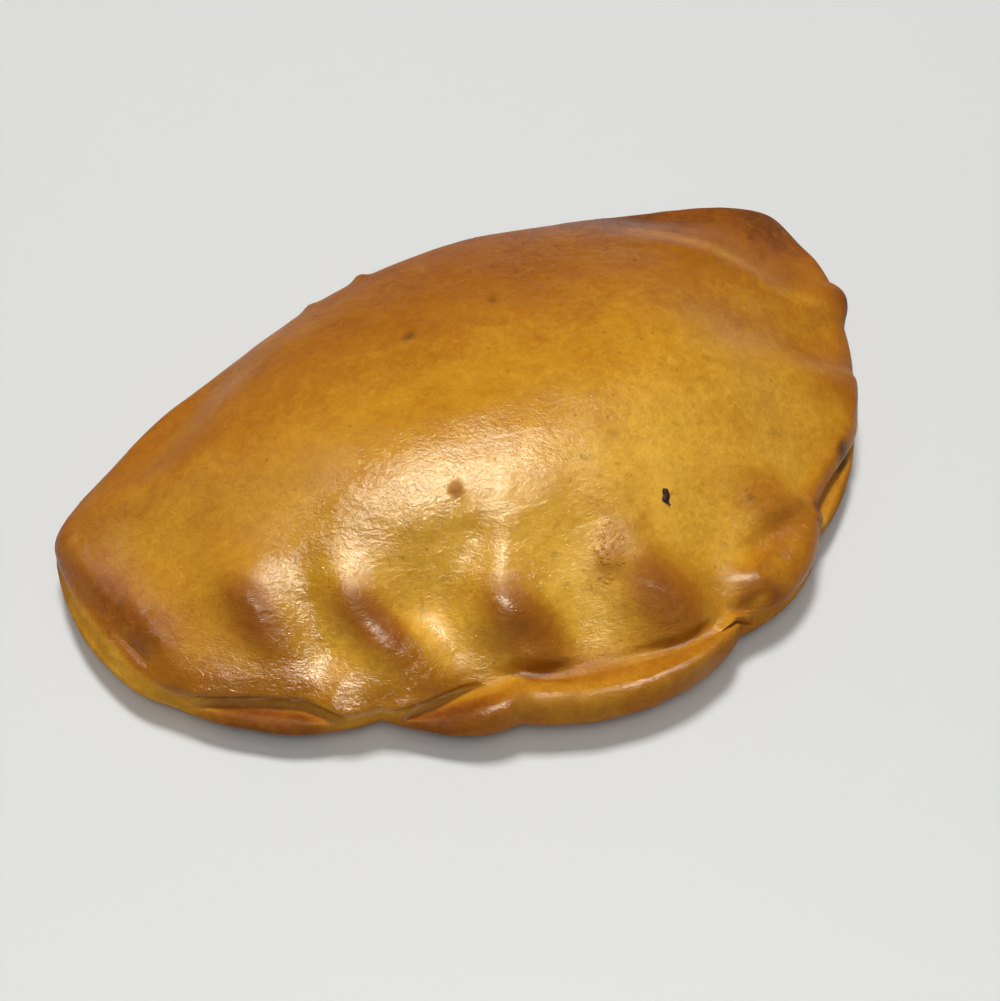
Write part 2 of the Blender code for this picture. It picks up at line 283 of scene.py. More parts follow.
@dataclass
class Plan:
    """Outline of the bun, about the middle of the line that joins its ends."""

    rim_radius: float = 0.0639
    fold_half_length: float = 0.0700
    fold_bulge: float = 0.0160
    fold_shift: float = 0.0027
    end_reach: float = 0.0689
    left_end_extra: float = 0.0030
    power: float = 38.0
    dome_power: float = 7.0
    rim_swells: tuple[Swell, ...] = (
        Swell(182, 9.0, 0.0008),
        Swell(200, 21.7, 0.0100),
        Swell(212, 9.0, -0.0004),
        Swell(236, 9.0, -0.0018),
        Swell(268, 18.0, 0.0007),
        Swell(300, 14.0, -0.0004),
        Swell(335, 14.0, 0.0002),
        Swell(352, 9.0, 0.0024),
    )
    fold_swell: Swell = Swell(94, 64.0, 0.0028, 6.0)
    end_swell: Swell = Swell(9, 8.0, 0.0040)
    lobes: tuple[Lobe, ...] = (
        Lobe(209.0, 233.0, 0.0016, 0.55),
        Lobe(233.0, 250.6, 0.0022, 0.50),
        Lobe(250.6, 282.7, 0.0026, 0.60),
        Lobe(282.7, 302.8, 0.0024, 0.55),
        Lobe(302.8, 332.1, 0.0009, 0.30),
        Lobe(332.1, 339.9, 0.0003, 0.50),
        Lobe(339.9, 348.6, 0.0016, 0.60),
    )
    rim_density: float = 1.6
    rim_start: Span = (172.0, 185.0)
    rim_end: float = 10.0
    outline_points: int = 7201

    def smooth_reach(self, angle: Array, power: Optional[float] = None) -> Array:
        """Reach of the outline without the lobes.

        Args:
            angle: Angles round the plan, in radians.
            power: How tightly the corners are rounded, if not the plan's own.

        Returns:
            Distance from the middle of the chord for each angle.
        """
        power = power or self.power
        cosine, sine = np.cos(angle), np.sin(angle)
        rim = self.rim_radius + sum(swell.at(angle) for swell in self.rim_swells)
        radius = (self.fold_half_length**2 + self.fold_bulge**2) / (2.0 * self.fold_bulge)
        middle = self.fold_bulge - radius
        along = self.fold_shift * cosine + middle * sine
        fold = along + np.sqrt(radius**2 - self.fold_shift**2 - middle**2 + along**2)
        fold = fold + self.fold_swell.at(angle)
        end = self.end_reach / np.maximum(np.abs(cosine), 0.001)
        end = end + self.left_end_extra * (cosine < 0.0) + self.end_swell.at(angle)
        return (rim**-power + fold**-power + end**-power) ** (-1.0 / power)

    def reach(self, angle: Array) -> Array:
        """Reach of the outline with its lobes."""
        return self.smooth_reach(angle) + sum(lobe.at(angle) for lobe in self.lobes)

    @staticmethod
    def point(angle: Array, reach: Array) -> Array:
        """Plan point at an angle and reach."""
        return np.stack([reach * np.cos(angle), reach * np.sin(angle)], -1)

    def column_angles(self, count: int) -> Array:
        """Angles of the columns, even along the outline and closer along the rim.

        Args:
            count: Number of columns.

        Returns:
            The angles in radians.
        """
        angle = np.linspace(0.0, 2.0 * math.pi, self.outline_points)
        outline = self.point(angle, self.reach(angle))
        length = np.linalg.norm(np.diff(outline, axis=0), axis=-1)
        middle = degrees(0.5 * (angle[1:] + angle[:-1]))
        crimped = np.maximum(step(*self.rim_start, middle), middle < self.rim_end)
        weight = 1.0 + (self.rim_density - 1.0) * crimped
        total = np.concatenate([[0.0], np.cumsum(length * weight)])
        return np.interp(np.arange(count) / count * total[-1], total, angle)


@dataclass
class Lattice:
    """Points of the crust: rows from the top to the base by columns round it."""

    points: Array
    angle: Array
    level: Array

    def plan_places(self) -> tuple[Array, Array, Array]:
        """The points' x and y, and the level of their rows."""
        return self.points[..., 0], self.points[..., 1], self.level[:, None]

    def normals(self) -> Array:
        """Unit normals that point out of the dough.

        Returns:
            One normal for each point.
        """
        down = np.gradient(self.points, axis=0)
        onward = np.roll(self.points, -1, 1) - np.roll(self.points, 1, 1)
        normal = np.cross(down, onward)
        normal = normal / (np.linalg.norm(normal, axis=-1, keepdims=True) + 1e-12)
        normal[0] = (0.0, 0.0, 1.0)
        return normal


@dataclass
class CrustForm:
    """The whole form of the crust, worked out from its named sizes."""

    plan: Plan = field(default_factory=Plan)
    hub: Span = (-0.0048, -0.0260)
    # dome
    top_height: float = 0.0320
    dome_power: float = 2.1
    front_dome_power: float = 1.7
    crown_fall: float = 0.70
    front_crown_fall: float = 1.0
    back_fall: float = 0.42
    end_fall: float = 0.84
    front_fall: float = 0.97
    crown_half_length: float = 0.0660
    crown_half_width: float = 0.0390
    crown_foot: float = 0.0105
    dome_fractions: tuple[float, ...] = (0.0, 0.16, 0.32, 0.48, 0.64, 0.78, 0.89)
    steep_zone: Zone = (200.0, 216.0, 300.0, 335.0)
    front_zone: Zone = (185.0, 235.0, 290.0, 340.0)
    fall_span: Span = (80.0, 115.0)
    inner_fall_span: Span = (45.0, 145.0)
    # back fold, crimped rim and base
    fold_height: float = 0.0098
    fold_height_drop: float = 0.0035
    rim_span: Span = (86.0, 100.0)
    rim_height: float = 0.0106
    rim_width: float = 0.0050
    lip_height: float = 0.0088
    lip_nose_drop: float = 0.0013
    side_height: float = 0.0052
    shelf_room: float = 0.0015
    undercut_height: float = 0.0030
    underside: tuple[Zone, ...] = (  # rim: inset, height share; fold: inset, height share
        (0.0012, 1.00, 0.0032, 0.13),
        (0.0050, 0.45, 0.0048, 0.06),
        (0.0085, 0.10, 0.0068, 0.02),
        (0.0110, 0.00, 0.0090, 0.00),
    )
    # shelf of the left end, and the apron under the first pleats
    left_rim: Zone = (178.0, 197.0, 197.0, 216.0)
    left_rim_wider: float = 0.0035
    left_rim_higher: float = 0.0006
    left_lip_higher: float = 0.0012
    left_wall_slope: float = 0.0032
    apron: Zone = (203.0, 217.0, 236.0, 250.0)
    apron_wider: float = 0.0030
    apron_higher: float = 0.0008
    # roll of the rim, and the lower layer that shows under the lip
    roll_zone: Zone = (232.0, 245.0, 268.0, 285.0)
    roll_room: float = 0.0026
    hang_higher: float = 0.0006
    layer_start_crest: float = 0.0054
    layer_low_crest: float = 0.0062
    layer_shown: Span = (0.0002, 0.0018)
    layer_leaves: Span = (-5.0, 6.0)
    groove_depth: float = 0.00035
    groove: Swell = Swell(254.5, 5.0, 0.0011)
    layers: tuple[LowerLayer, ...] = (
        LowerLayer(207.5, 219.0, 220.5, 230.5, 0.0044, 240.0, 0.0064),
        LowerLayer(232.5, 244.5, 266.0, 291.0, 0.0062, 243.0, 0.0096),
        LowerLayer(302.8, 307.5, 310.0, 322.0, 0.0028, 330.0, 0.0062),
    )
    # pleats; the knot and its crease; fold, valley and knob of the right end
    pleats: tuple[Pleat, ...] = (
        Pleat(214.2, 0.0138, 285, 0.0085, 0.0034, 0.0028),
        Pleat(230.8, 0.0108, 296, 0.0085, 0.0033, 0.0036),
        Pleat(250.4, 0.0122, 302, 0.0088, 0.0040, 0.0036),
        Pleat(272.8, 0.0116, 318, 0.0080, 0.0046, 0.0034),
        Pleat(299.5, 0.0085, 330, 0.0070, 0.0046, 0.0020),
    )
    swells: tuple[Fold, ...] = (
        Fold(0.0190, -0.0586, 20, 0.0036, 0.0022, 0.0011),
        Fold(0.0248, -0.0539, 14, 0.0090, 0.0013, -0.0009),
        Fold(0.0490, -0.0325, -24, 0.0095, 0.0032, 0.0020),
        Fold(0.0440, -0.0225, -28, 0.0150, 0.0058, -0.0020),
        Fold(0.0600, -0.0185, -20, 0.0040, 0.0030, 0.0016),
    )
    relief_lean: float = 0.75
    relief_fade: Span = (7.7, 9.25)
    # points in each span of a section, and sections round the bun
    rows: tuple[int, ...] = (12, 12, 12, 12, 12, 10, 9, 8, 7, 6, 6, 6, 6, 6, 5, 4, 4)
    columns: int = 640

    def layer_state(self, angle: Array) -> tuple[Array, Array, Array]:
        """How the lower layer shows along the rim.

        Args:
            angle: Angles round the plan, in radians.

        Returns:
            Its reach past the lip, how far the lip hangs over it (0 to 1) and
            the height of its crest.
        """
        turn = degrees(angle)
        reach, hang = 0.0 * angle, 0.0 * angle
        crest = self.layer_start_crest + 0.0 * angle
        for layer in self.layers:
            shown = plateau(turn, layer.first, layer.full, layer.fade, layer.last)
            inside = (turn > layer.first) & (turn < layer.last)
            out = step(*(layer.out_at + part for part in self.layer_leaves), turn)
            reach = reach + layer.reach * shown
            hang = np.where(inside, 1.0 - out, hang)
            rise = mix(self.layer_low_crest, layer.crest, out) - self.layer_start_crest
            height = self.layer_start_crest + step(0.0, 0.5, shown) * rise
            crest = np.where(inside, height, crest)
        return reach, hang, crest

    def section_points(self, angle: Array) -> tuple[Array, Array]:
        """Control points of every section, from the top of the dome to the base.

        Args:
            angle: Angles of the sections, in radians.

        Returns:
            The points as distance from the hub and height, and each section's
            direction in plan.
        """
        # reach of each section from the hub
        hub = np.array(self.hub)
        smooth = self.plan.smooth_reach(angle)
        to_edge = self.plan.point(angle, self.plan.reach(angle)) - hub
        edge = np.linalg.norm(to_edge, axis=-1)
        heading = to_edge / edge[:, None]
        body = np.linalg.norm(self.plan.point(angle, smooth) - hub, axis=-1)
        round_reach = self.plan.smooth_reach(angle, self.plan.dome_power)
        round_body = np.linalg.norm(self.plan.point(angle, round_reach) - hub, axis=-1)

        # where the rim, its left end, the apron and the lower layer are
        turn = degrees(angle)
        rim = rim_share(angle, *self.rim_span)
        left, apron = plateau(turn, *self.left_rim), plateau(turn, *self.apron)
        past, hang, crest = self.layer_state(angle)
        shown = step(*self.layer_shown, past)
        rolled = shown * (1.0 - hang)

        # heights and widths of the fold and the rim, and how the dome falls to them
        fold = self.fold_height - self.fold_height_drop * heading[:, 0] ** 2
        width = self.rim_width + self.left_rim_wider * left + self.apron_wider * apron
        slope = self.left_wall_slope * left
        foot = self.rim_height + self.left_rim_higher * left
        lip = self.lip_height + self.hang_higher * hang * shown + self.left_lip_higher * left
        roll_room = self.roll_room * plateau(turn, *self.roll_zone)
        shelf = rim * (width + self.shelf_room + 0.6 * slope + roll_room)
        inner, round_inner = body - shelf, round_body - shelf
        rest = mix(fold, foot, rim)
        end_rise = self.end_fall - self.back_fall
        front_rise = (self.front_fall - self.end_fall) * plateau(turn, *self.steep_zone)
        fall = self.back_fall + end_rise * rim_share(angle, *self.fall_span) + front_rise
        inner_fall = self.back_fall + end_rise * rim_share(angle, *self.inner_fall_span)
        inner_fall = inner_fall + front_rise
        oval = np.hypot(heading[:, 0] / self.crown_half_length,
                        heading[:, 1] / self.crown_half_width)
        front_side = plateau(turn, *self.front_zone)
        dome_power = mix(self.dome_power, self.front_dome_power, front_side)
        crown_fall = mix(self.crown_fall, self.front_crown_fall, front_side)
        points: list[Array] = []

        def add(front_point: tuple[Any, Any], back_point: tuple[Any, Any]) -> None:
            """Adds one control point to every section.

            Args:
                front_point: Its distance and height along the rim.
                back_point: Its distance and height along the back fold.
            """
            pair = [np.stack([part[0] + 0.0 * edge, part[1] + 0.0 * edge], -1)
                    for part in (front_point, back_point)]
            points.append(mix(pair[1], pair[0], rim[:, None]))

        def back_height(share: float) -> Array:
            """Height of the dome over the back fold."""
            rise = (1.0 - share**self.dome_power) ** self.back_fall
            return fold + (self.top_height - fold) * rise

        # dome
        for share in self.dome_fractions:
            outward = step(0.0, 0.80, np.float64(share))
            outer = step(0.45, 1.0, np.float64(share))
            low = mix(self.crown_foot, rest, outward)
            power = mix(crown_fall, mix(inner_fall, fall, outer), outward)
            height = low + (self.top_height - low) * (1.0 - share**dome_power) ** power
            reach = mix(1.0 / oval, mix(round_inner, inner, outer), outward)
            add((share * reach, height), (share * reach, height))

        # lip: the foot of the dome, its crest, its nose and the tuck below the nose
        nose = edge - past - slope
        groove = self.groove_depth + self.groove.at(angle)
        foot_reach = np.maximum(nose - 0.75 * width, 0.95 * inner)
        foot_height = foot + 0.0002 + 0.0012 * left + self.apron_higher * apron
        add((foot_reach, mix(foot_height, foot - 0.0001, rolled)),
            (0.965 * body, back_height(0.965)))
        crest_reach = nose - mix(0.0009 + 0.0015 * left + 0.0009 * apron, 0.0018, rolled)
        crest_height = lip + mix(0.00025 + 0.0006 * left, 0.00055 - 0.2 * groove, rolled)
        add((crest_reach, crest_height), (0.99 * body, back_height(0.99)))
        nose_drop = mix(self.lip_nose_drop, 0.7 * groove - 0.0004, rolled)
        add((nose - 0.0003 * rolled, lip - nose_drop), (body, fold))
        tuck = mix(0.42 * slope - 0.0001, mix(0.0009, -0.0015, hang), shown)
        tuck_height = lip - mix(0.0022, mix(groove - 0.0004, 0.0030, hang), shown)
        add((nose + tuck, tuck_height), (body - 0.0003, fold - 0.0026))
        # side wall or lower layer, undercut and base
        side = edge - 0.00015 - 0.15 * slope
        side_crest = crest - mix(0.0005, 0.0001, hang)
        add((mix(side, nose + 0.34 * past, shown),
             mix(self.side_height + 0.0007, side_crest, shown)),
            (body - 0.0008, 0.50 * fold))
        add((mix(edge - 0.00005, nose + 0.66 * past, shown),
             mix(self.side_height, crest, shown)),
            (body - 0.0013, 0.36 * fold))
        add((edge, self.side_height - 0.0007), (body - 0.0021, 0.24 * fold))
        for inset, height_share, fold_inset, fold_share in self.underside:
            add((edge - inset, height_share * self.undercut_height),
                (body - fold_inset, fold_share * fold))
        return np.array(points), heading

    def smooth_curve(self, points: Array) -> Array:
        """Curves through the control points, level at the top of the dome.

        Args:
            points: Control points of every section.

        Returns:
            The curves' points, as many to each span as the form's rows say.
        """
        tiny = 1e-9
        count = len(points)
        rows = []
        for index in range(count - 1):
            here, there = points[index], points[index + 1]
            before = points[index - 1] if index > 0 else there * (-1.0, 1.0)
            after = points[index + 2] if index < count - 2 else 2.0 * there - here
            span, earlier, later = (
                np.linalg.norm(gap, axis=-1, keepdims=True) + tiny
                for gap in (there - here, here - before, after - there))
            start = (there - here) / span * earlier + (here - before) / earlier * span
            start = start / (earlier + span) * span
            finish = (after - there) / later * span + (there - here) / span * later
            finish = finish / (span + later) * span
            for number in range(self.rows[index]):
                t = number / self.rows[index]
                rows.append((2 * t**3 - 3 * t**2 + 1) * here
                            + (t**3 - 2 * t**2 + t) * start
                            + (3 * t**2 - 2 * t**3) * there
                            + (t**3 - t**2) * finish)
        rows.append(points[-1])
        return np.array(rows)

    def lattice(self) -> Lattice:
        """Works out the crust with its pleats, about the middle of the chord.

        Returns:
            The points, with the angle of each column and the level of each row.
        """
        angle = self.plan.column_angles(self.columns)
        points, heading = self.section_points(angle)
        curve = self.smooth_curve(points)
        x = self.hub[0] + curve[..., 0] * heading[:, 0]
        y = self.hub[1] + curve[..., 0] * heading[:, 1]
        spans = np.repeat(np.arange(len(self.rows)), self.rows)
        inside = np.concatenate([np.arange(count) / count for count in self.rows])
        level = np.append(spans + inside, len(self.rows))
        folds = [pleat.fold(self.plan) for pleat in self.pleats]
        height = heap((*folds, *self.swells), x, y)
        height = height * (1.0 - step(*self.relief_fade, level))[:, None]
        lean = np.append(self.relief_lean * heading, np.ones((len(angle), 1)), axis=1)
        lean = lean / np.linalg.norm(lean, axis=-1, keepdims=True)
        points = np.stack([x, y, curve[..., 1]], -1) + lean[None] * height[..., None]
        return Lattice(points, angle, level)


# --- browning and painted shade, glaze and fine relief ------------------------


@dataclass(frozen=True)
class Patch(Mark):
    """An oval patch of the crust that is browner or duller than the rest.

    Its strength is negative for a paler or glossier patch.
    """

    strength: float
    edge: float = 2.0

    def at(self, x: Array, y: Array) -> Array:
        """Strength of the patch at the given places of the plan."""
        along, across = self.shares(x, y)
        return self.strength * np.exp(-((along**2 + across**2) ** (self.edge / 2.0)))


@dataclass(frozen=True)
class BakeAndShade:
    """How dark each part of the crust is, 0 pale to 1 burnt: the oven's browning, with painted
    shade along the groove above the roll.
    """

    # crust at the front and, from one y to the other, how much more at the back
    plain: float = 0.42
    back: float = 0.28
    back_span: Span = (-0.026, 0.012)
    # lip and lower edge of the rim, less browned where the roll and the wall are
    rim: float = 0.20
    rim_span: Span = (84.0, 100.0)
    lip_levels: Zone = (6.6, 8.4, 9.4, 10.4)
    edge_share: float = 0.7
    edge_levels: Span = (12.0, 13.2)
    roll_zone: Zone = (240.0, 247.0, 283.0, 291.0)
    # below the lip, on the left end's wall, on the back fold's side and on the base
    tuck: float = 0.07
    tuck_levels: Span = (9.6, 10.4)
    wall_zone: Zone = (178.0, 188.0, 208.0, 216.0)
    wall: float = -0.09
    wall_levels: Span = (9.0, 10.2)
    wall_edge: float = 0.9
    side: float = 0.10
    side_levels: Span = (9.4, 11.0)
    base: float = 0.46
    base_levels: Span = (14.6, 16.0)
    patches: tuple[Patch, ...] = (
        # pleats
        Patch(-0.0488, -0.0345, 287, 0.0064, 0.0027, 0.32, 2.6),
        Patch(-0.0342, -0.0438, 300, 0.0068, 0.0028, 0.46, 3.2),
        Patch(-0.0158, -0.0518, 305, 0.0072, 0.0036, 0.34, 2.8),
        Patch(0.0038, -0.0566, 315, 0.0060, 0.0045, 0.34, 2.8),
        Patch(0.0281, -0.0504, 335, 0.0058, 0.0045, 0.17, 2.4),
        # valleys between the pleats
        Patch(-0.0570, -0.0300, 285, 0.0100, 0.0040, 0.08),
        Patch(-0.0270, -0.0470, 300, 0.0080, 0.0045, -0.10),
        Patch(-0.0050, -0.0540, 300, 0.0080, 0.0055, -0.14),
        Patch(0.0150, -0.0530, 320, 0.0080, 0.0055, -0.08),
        # front, right and left of the dome
        Patch(-0.0130, -0.0430, 0, 0.0400, 0.0120, -0.13, 2.6),
        Patch(0.0280, -0.0360, 10, 0.0190, 0.0100, -0.06),
        Patch(0.0400, -0.0110, -25, 0.0240, 0.0120, 0.07),
        Patch(0.0470, -0.0260, -25, 0.0150, 0.0060, 0.08),
        Patch(0.0440, -0.0190, -25, 0.0150, 0.0035, -0.06),
        Patch(-0.0530, -0.0130, 70, 0.0120, 0.0090, -0.04),
        # back of the dome, and the rear fold's left half
        Patch(0.0200, -0.0130, 0, 0.0380, 0.0210, 0.05, 3.0),
        Patch(-0.0480, 0.0040, 20, 0.0200, 0.0060, -0.06, 3.0),
        # right fold, knob and corner
        Patch(0.0520, -0.0340, -30, 0.0070, 0.0045, 0.14),
        Patch(0.0620, -0.0180, -20, 0.0040, 0.0030, 0.22),
        Patch(0.0600, -0.0010, 80, 0.0090, 0.0060, 0.14),
        # left end
        Patch(-0.0640, -0.0190, 275, 0.0080, 0.0028, 0.13, 2.6),
        Patch(-0.0610, -0.0262, 285, 0.0040, 0.0022, 0.16, 2.6),
        Patch(-0.0668, -0.0240, 255, 0.0060, 0.0014, -0.06, 2.6),
        Patch(-0.0640, -0.0060, 80, 0.0080, 0.0060, -0.04),
        # brown limb, paler bands and blotches behind the right end
        Patch(0.0380, 0.0060, 170, 0.0260, 0.0080, 0.14),
        Patch(0.0400, -0.0050, 320, 0.0120, 0.0012, -0.16, 2.6),
        Patch(0.0520, -0.0165, 335, 0.0080, 0.0012, -0.10, 2.6),
        Patch(0.0535, -0.0039, 50, 0.0018, 0.0009, 0.10, 3.0),
        Patch(0.0529, -0.0078, 20, 0.0014, 0.0010, 0.10, 3.0),
        Patch(0.0590, -0.0060, 320, 0.0040, 0.0030, 0.06, 2.6),
        # painted shade along the groove above the roll, and the knot at the roll's end
        Patch(-0.0080, -0.0600, 345, 0.0120, 0.0022, 0.14, 2.4),
        Patch(0.0161, -0.0606, 30, 0.0030, 0.0014, 0.18, 3.0),
        Patch(0.0200, -0.0606, 330, 0.0026, 0.0012, 0.16, 3.0),
        Patch(0.0180, -0.0575, 340, 0.0040, 0.0016, 0.10, 3.0),
        Patch(0.0230, -0.0560, 15, 0.0060, 0.0020, 0.16),
        # stain under the cluster of blisters, a smaller one beside it, and the pimple
        Patch(-0.0016, -0.0500, 38, 0.0038, 0.0024, 0.17, 3.0),
        Patch(0.0042, -0.0484, 20, 0.0022, 0.0010, 0.12),
        Patch(-0.0179, -0.0352, 0, 0.0011, 0.0011, 0.24, 5.0),
    )
    # lower layer in the two openings of the rim
    opening_levels: Span = (10.5, 11.1)
    opening_patches: tuple[Patch, ...] = (
        Patch(-0.0522, -0.0426, 317, 0.0085, 0.0030, 0.36, 3.0),
        Patch(-0.0296, -0.0552, 335, 0.0080, 0.0030, 0.34, 3.0),
        Patch(-0.0480, -0.0462, 317, 0.0020, 0.0012, 0.16, 3.0),
    )

    def at(self, net: Lattice) -> Array:
        """Works out the browning and the painted shade.

        Args:
            net: The crust's lattice.

        Returns:
            One value for each point.
        """
        x, y, level = net.plan_places()
        turn = degrees(net.angle)
        rim = rim_share(net.angle, *self.rim_span)
        wall = plateau(turn, *self.wall_zone)
        lip = plateau(level, *self.lip_levels) * (1.0 - plateau(turn, *self.roll_zone))
        edge = self.edge_share * step(*self.edge_levels, level) * (1.0 - self.wall_edge * wall)
        bake_and_shade = self.plain + self.back * step(*self.back_span, y) + heap(self.patches, x, y)
        bake_and_shade = bake_and_shade + heap(self.opening_patches, x, y) * step(*self.opening_levels, level)
        bake_and_shade = bake_and_shade + rim * self.rim * (lip + edge)
        bake_and_shade = bake_and_shade + rim * self.tuck * step(*self.tuck_levels, level)
        bake_and_shade = bake_and_shade + rim * self.wall * wall * step(*self.wall_levels, level)
        bake_and_shade = bake_and_shade + (1.0 - rim) * self.side * step(*self.side_levels, level)
        return mix(bake_and_shade, self.base, step(*self.base_levels, level))


@dataclass(frozen=True)
class Unevenness:
    """One size of unevenness: its cells, its height and its pattern."""

    size: float
    height: float
    seed: int

    def over(self, net: Lattice) -> Array:
        """Height at every point of the lattice."""
        return self.height * lattice_noise(net.points, self.size, self.seed)


@dataclass(frozen=True)
class Undulation:
    """Slow unevenness of the risen dough and the fine folds of its skin."""

    skin: tuple[Unevenness, ...] = (
        Unevenness(0.0140, 0.00022, 3),
        Unevenness(0.0055, 0.00008, 11),
        Unevenness(0.0022, 0.000028, 23),
    )
    skin_levels: Zone = (0.3, 1.5, 14.0, 15.5)
    rim: Unevenness = Unevenness(0.0038, 0.00012, 31)
    rim_levels: Zone = (7.0, 8.5, 13.0, 14.0)

    def at(self, net: Lattice) -> Array:
        """Works out the height of the unevenness.

        Args:
            net: The crust's lattice.

        Returns:
            One value for each point.
        """
        level = net.level[:, None]
        height = sum(part.over(net) for part in self.skin)
        height = height + self.rim.over(net) * plateau(level, *self.rim_levels)
        return height * plateau(level, *self.skin_levels)


# --- shader maths -------------------------------------------------------------


class Socket:
    """A shader value that can be used in plain arithmetic."""

    def __init__(self, nodes: "Nodes", link: Any) -> None:
        """Keeps the output that holds the value and the tree it is in."""
        self.nodes = nodes
        self.link = link

    def _math(self, operation: str, other: Any) -> "Socket":
        """Adds one Math node on this value and the other."""
        node = self.nodes.node("ShaderNodeMath", {"operation": operation}, {0: self, 1: other})
        return Socket(self.nodes, node.outputs[0])

    def __add__(self, other: Any) -> "Socket":
        """Sum."""
        return self._math("ADD", other)

    __radd__ = __add__

    def __sub__(self, other: Any) -> "Socket":
        """Difference."""
        return self._math("SUBTRACT", other)

    def __rsub__(self, other: Number) -> "Socket":
        """Difference from a number."""
        return self * -1.0 + other

    def __mul__(self, other: Any) -> "Socket":
        """Product."""
        return self._math("MULTIPLY", other)

    __rmul__ = __mul__

    def between(self, first: Number, last: Number) -> "Socket":
        """Smooth rise from 0 at first to 1 at last."""
        node = self.nodes.node("ShaderNodeMapRange", {"interpolation_type": "SMOOTHSTEP"}, {
            "Value": self, "From Min": first, "From Max": last})
        return Socket(self.nodes, node.outputs["Result"])


class Nodes:
    """A node tree that nodes are added to."""

    def __init__(self, tree: Any) -> None:
        """Keeps the tree."""
        self.tree = tree

    def node(self, kind: str, settings: Optional[dict[str, Any]] = None,
             inputs: Optional[dict[Any, Any]] = None) -> Any:
        """Adds one node.

        Args:
            kind: Node type.
            settings: Properties of the node, set before its sockets.
            inputs: Values or links by socket name or number.

        Returns:
            The node.
        """
        made = self.tree.nodes.new(kind)
        for name, value in (settings or {}).items():
            setattr(made, name, value)
        for name, value in (inputs or {}).items():
            self.feed(made.inputs[name], value)
        return made

    def feed(self, socket: Any, value: Any) -> None:
        """Links a value to a socket, or sets it there.

        Args:
            socket: Input socket of a node.
            value: Shader value, output socket or constant.
        """
        link = value.link if isinstance(value, Socket) else value
        if isinstance(link, bpy.types.NodeSocket):
            self.tree.links.new(link, socket)
        elif isinstance(value, tuple) and len(value) == 3 and socket.type == "RGBA":
            socket.default_value = (*value, 1.0)
        else:
            socket.default_value = value

    def feed_all(self, node: Any, sockets: dict[str, Any]) -> None:
        """Feeds a node's sockets, named with underscores for spaces."""
        for name, value in sockets.items():
            self.feed(node.inputs[name.replace("_", " ")], value)


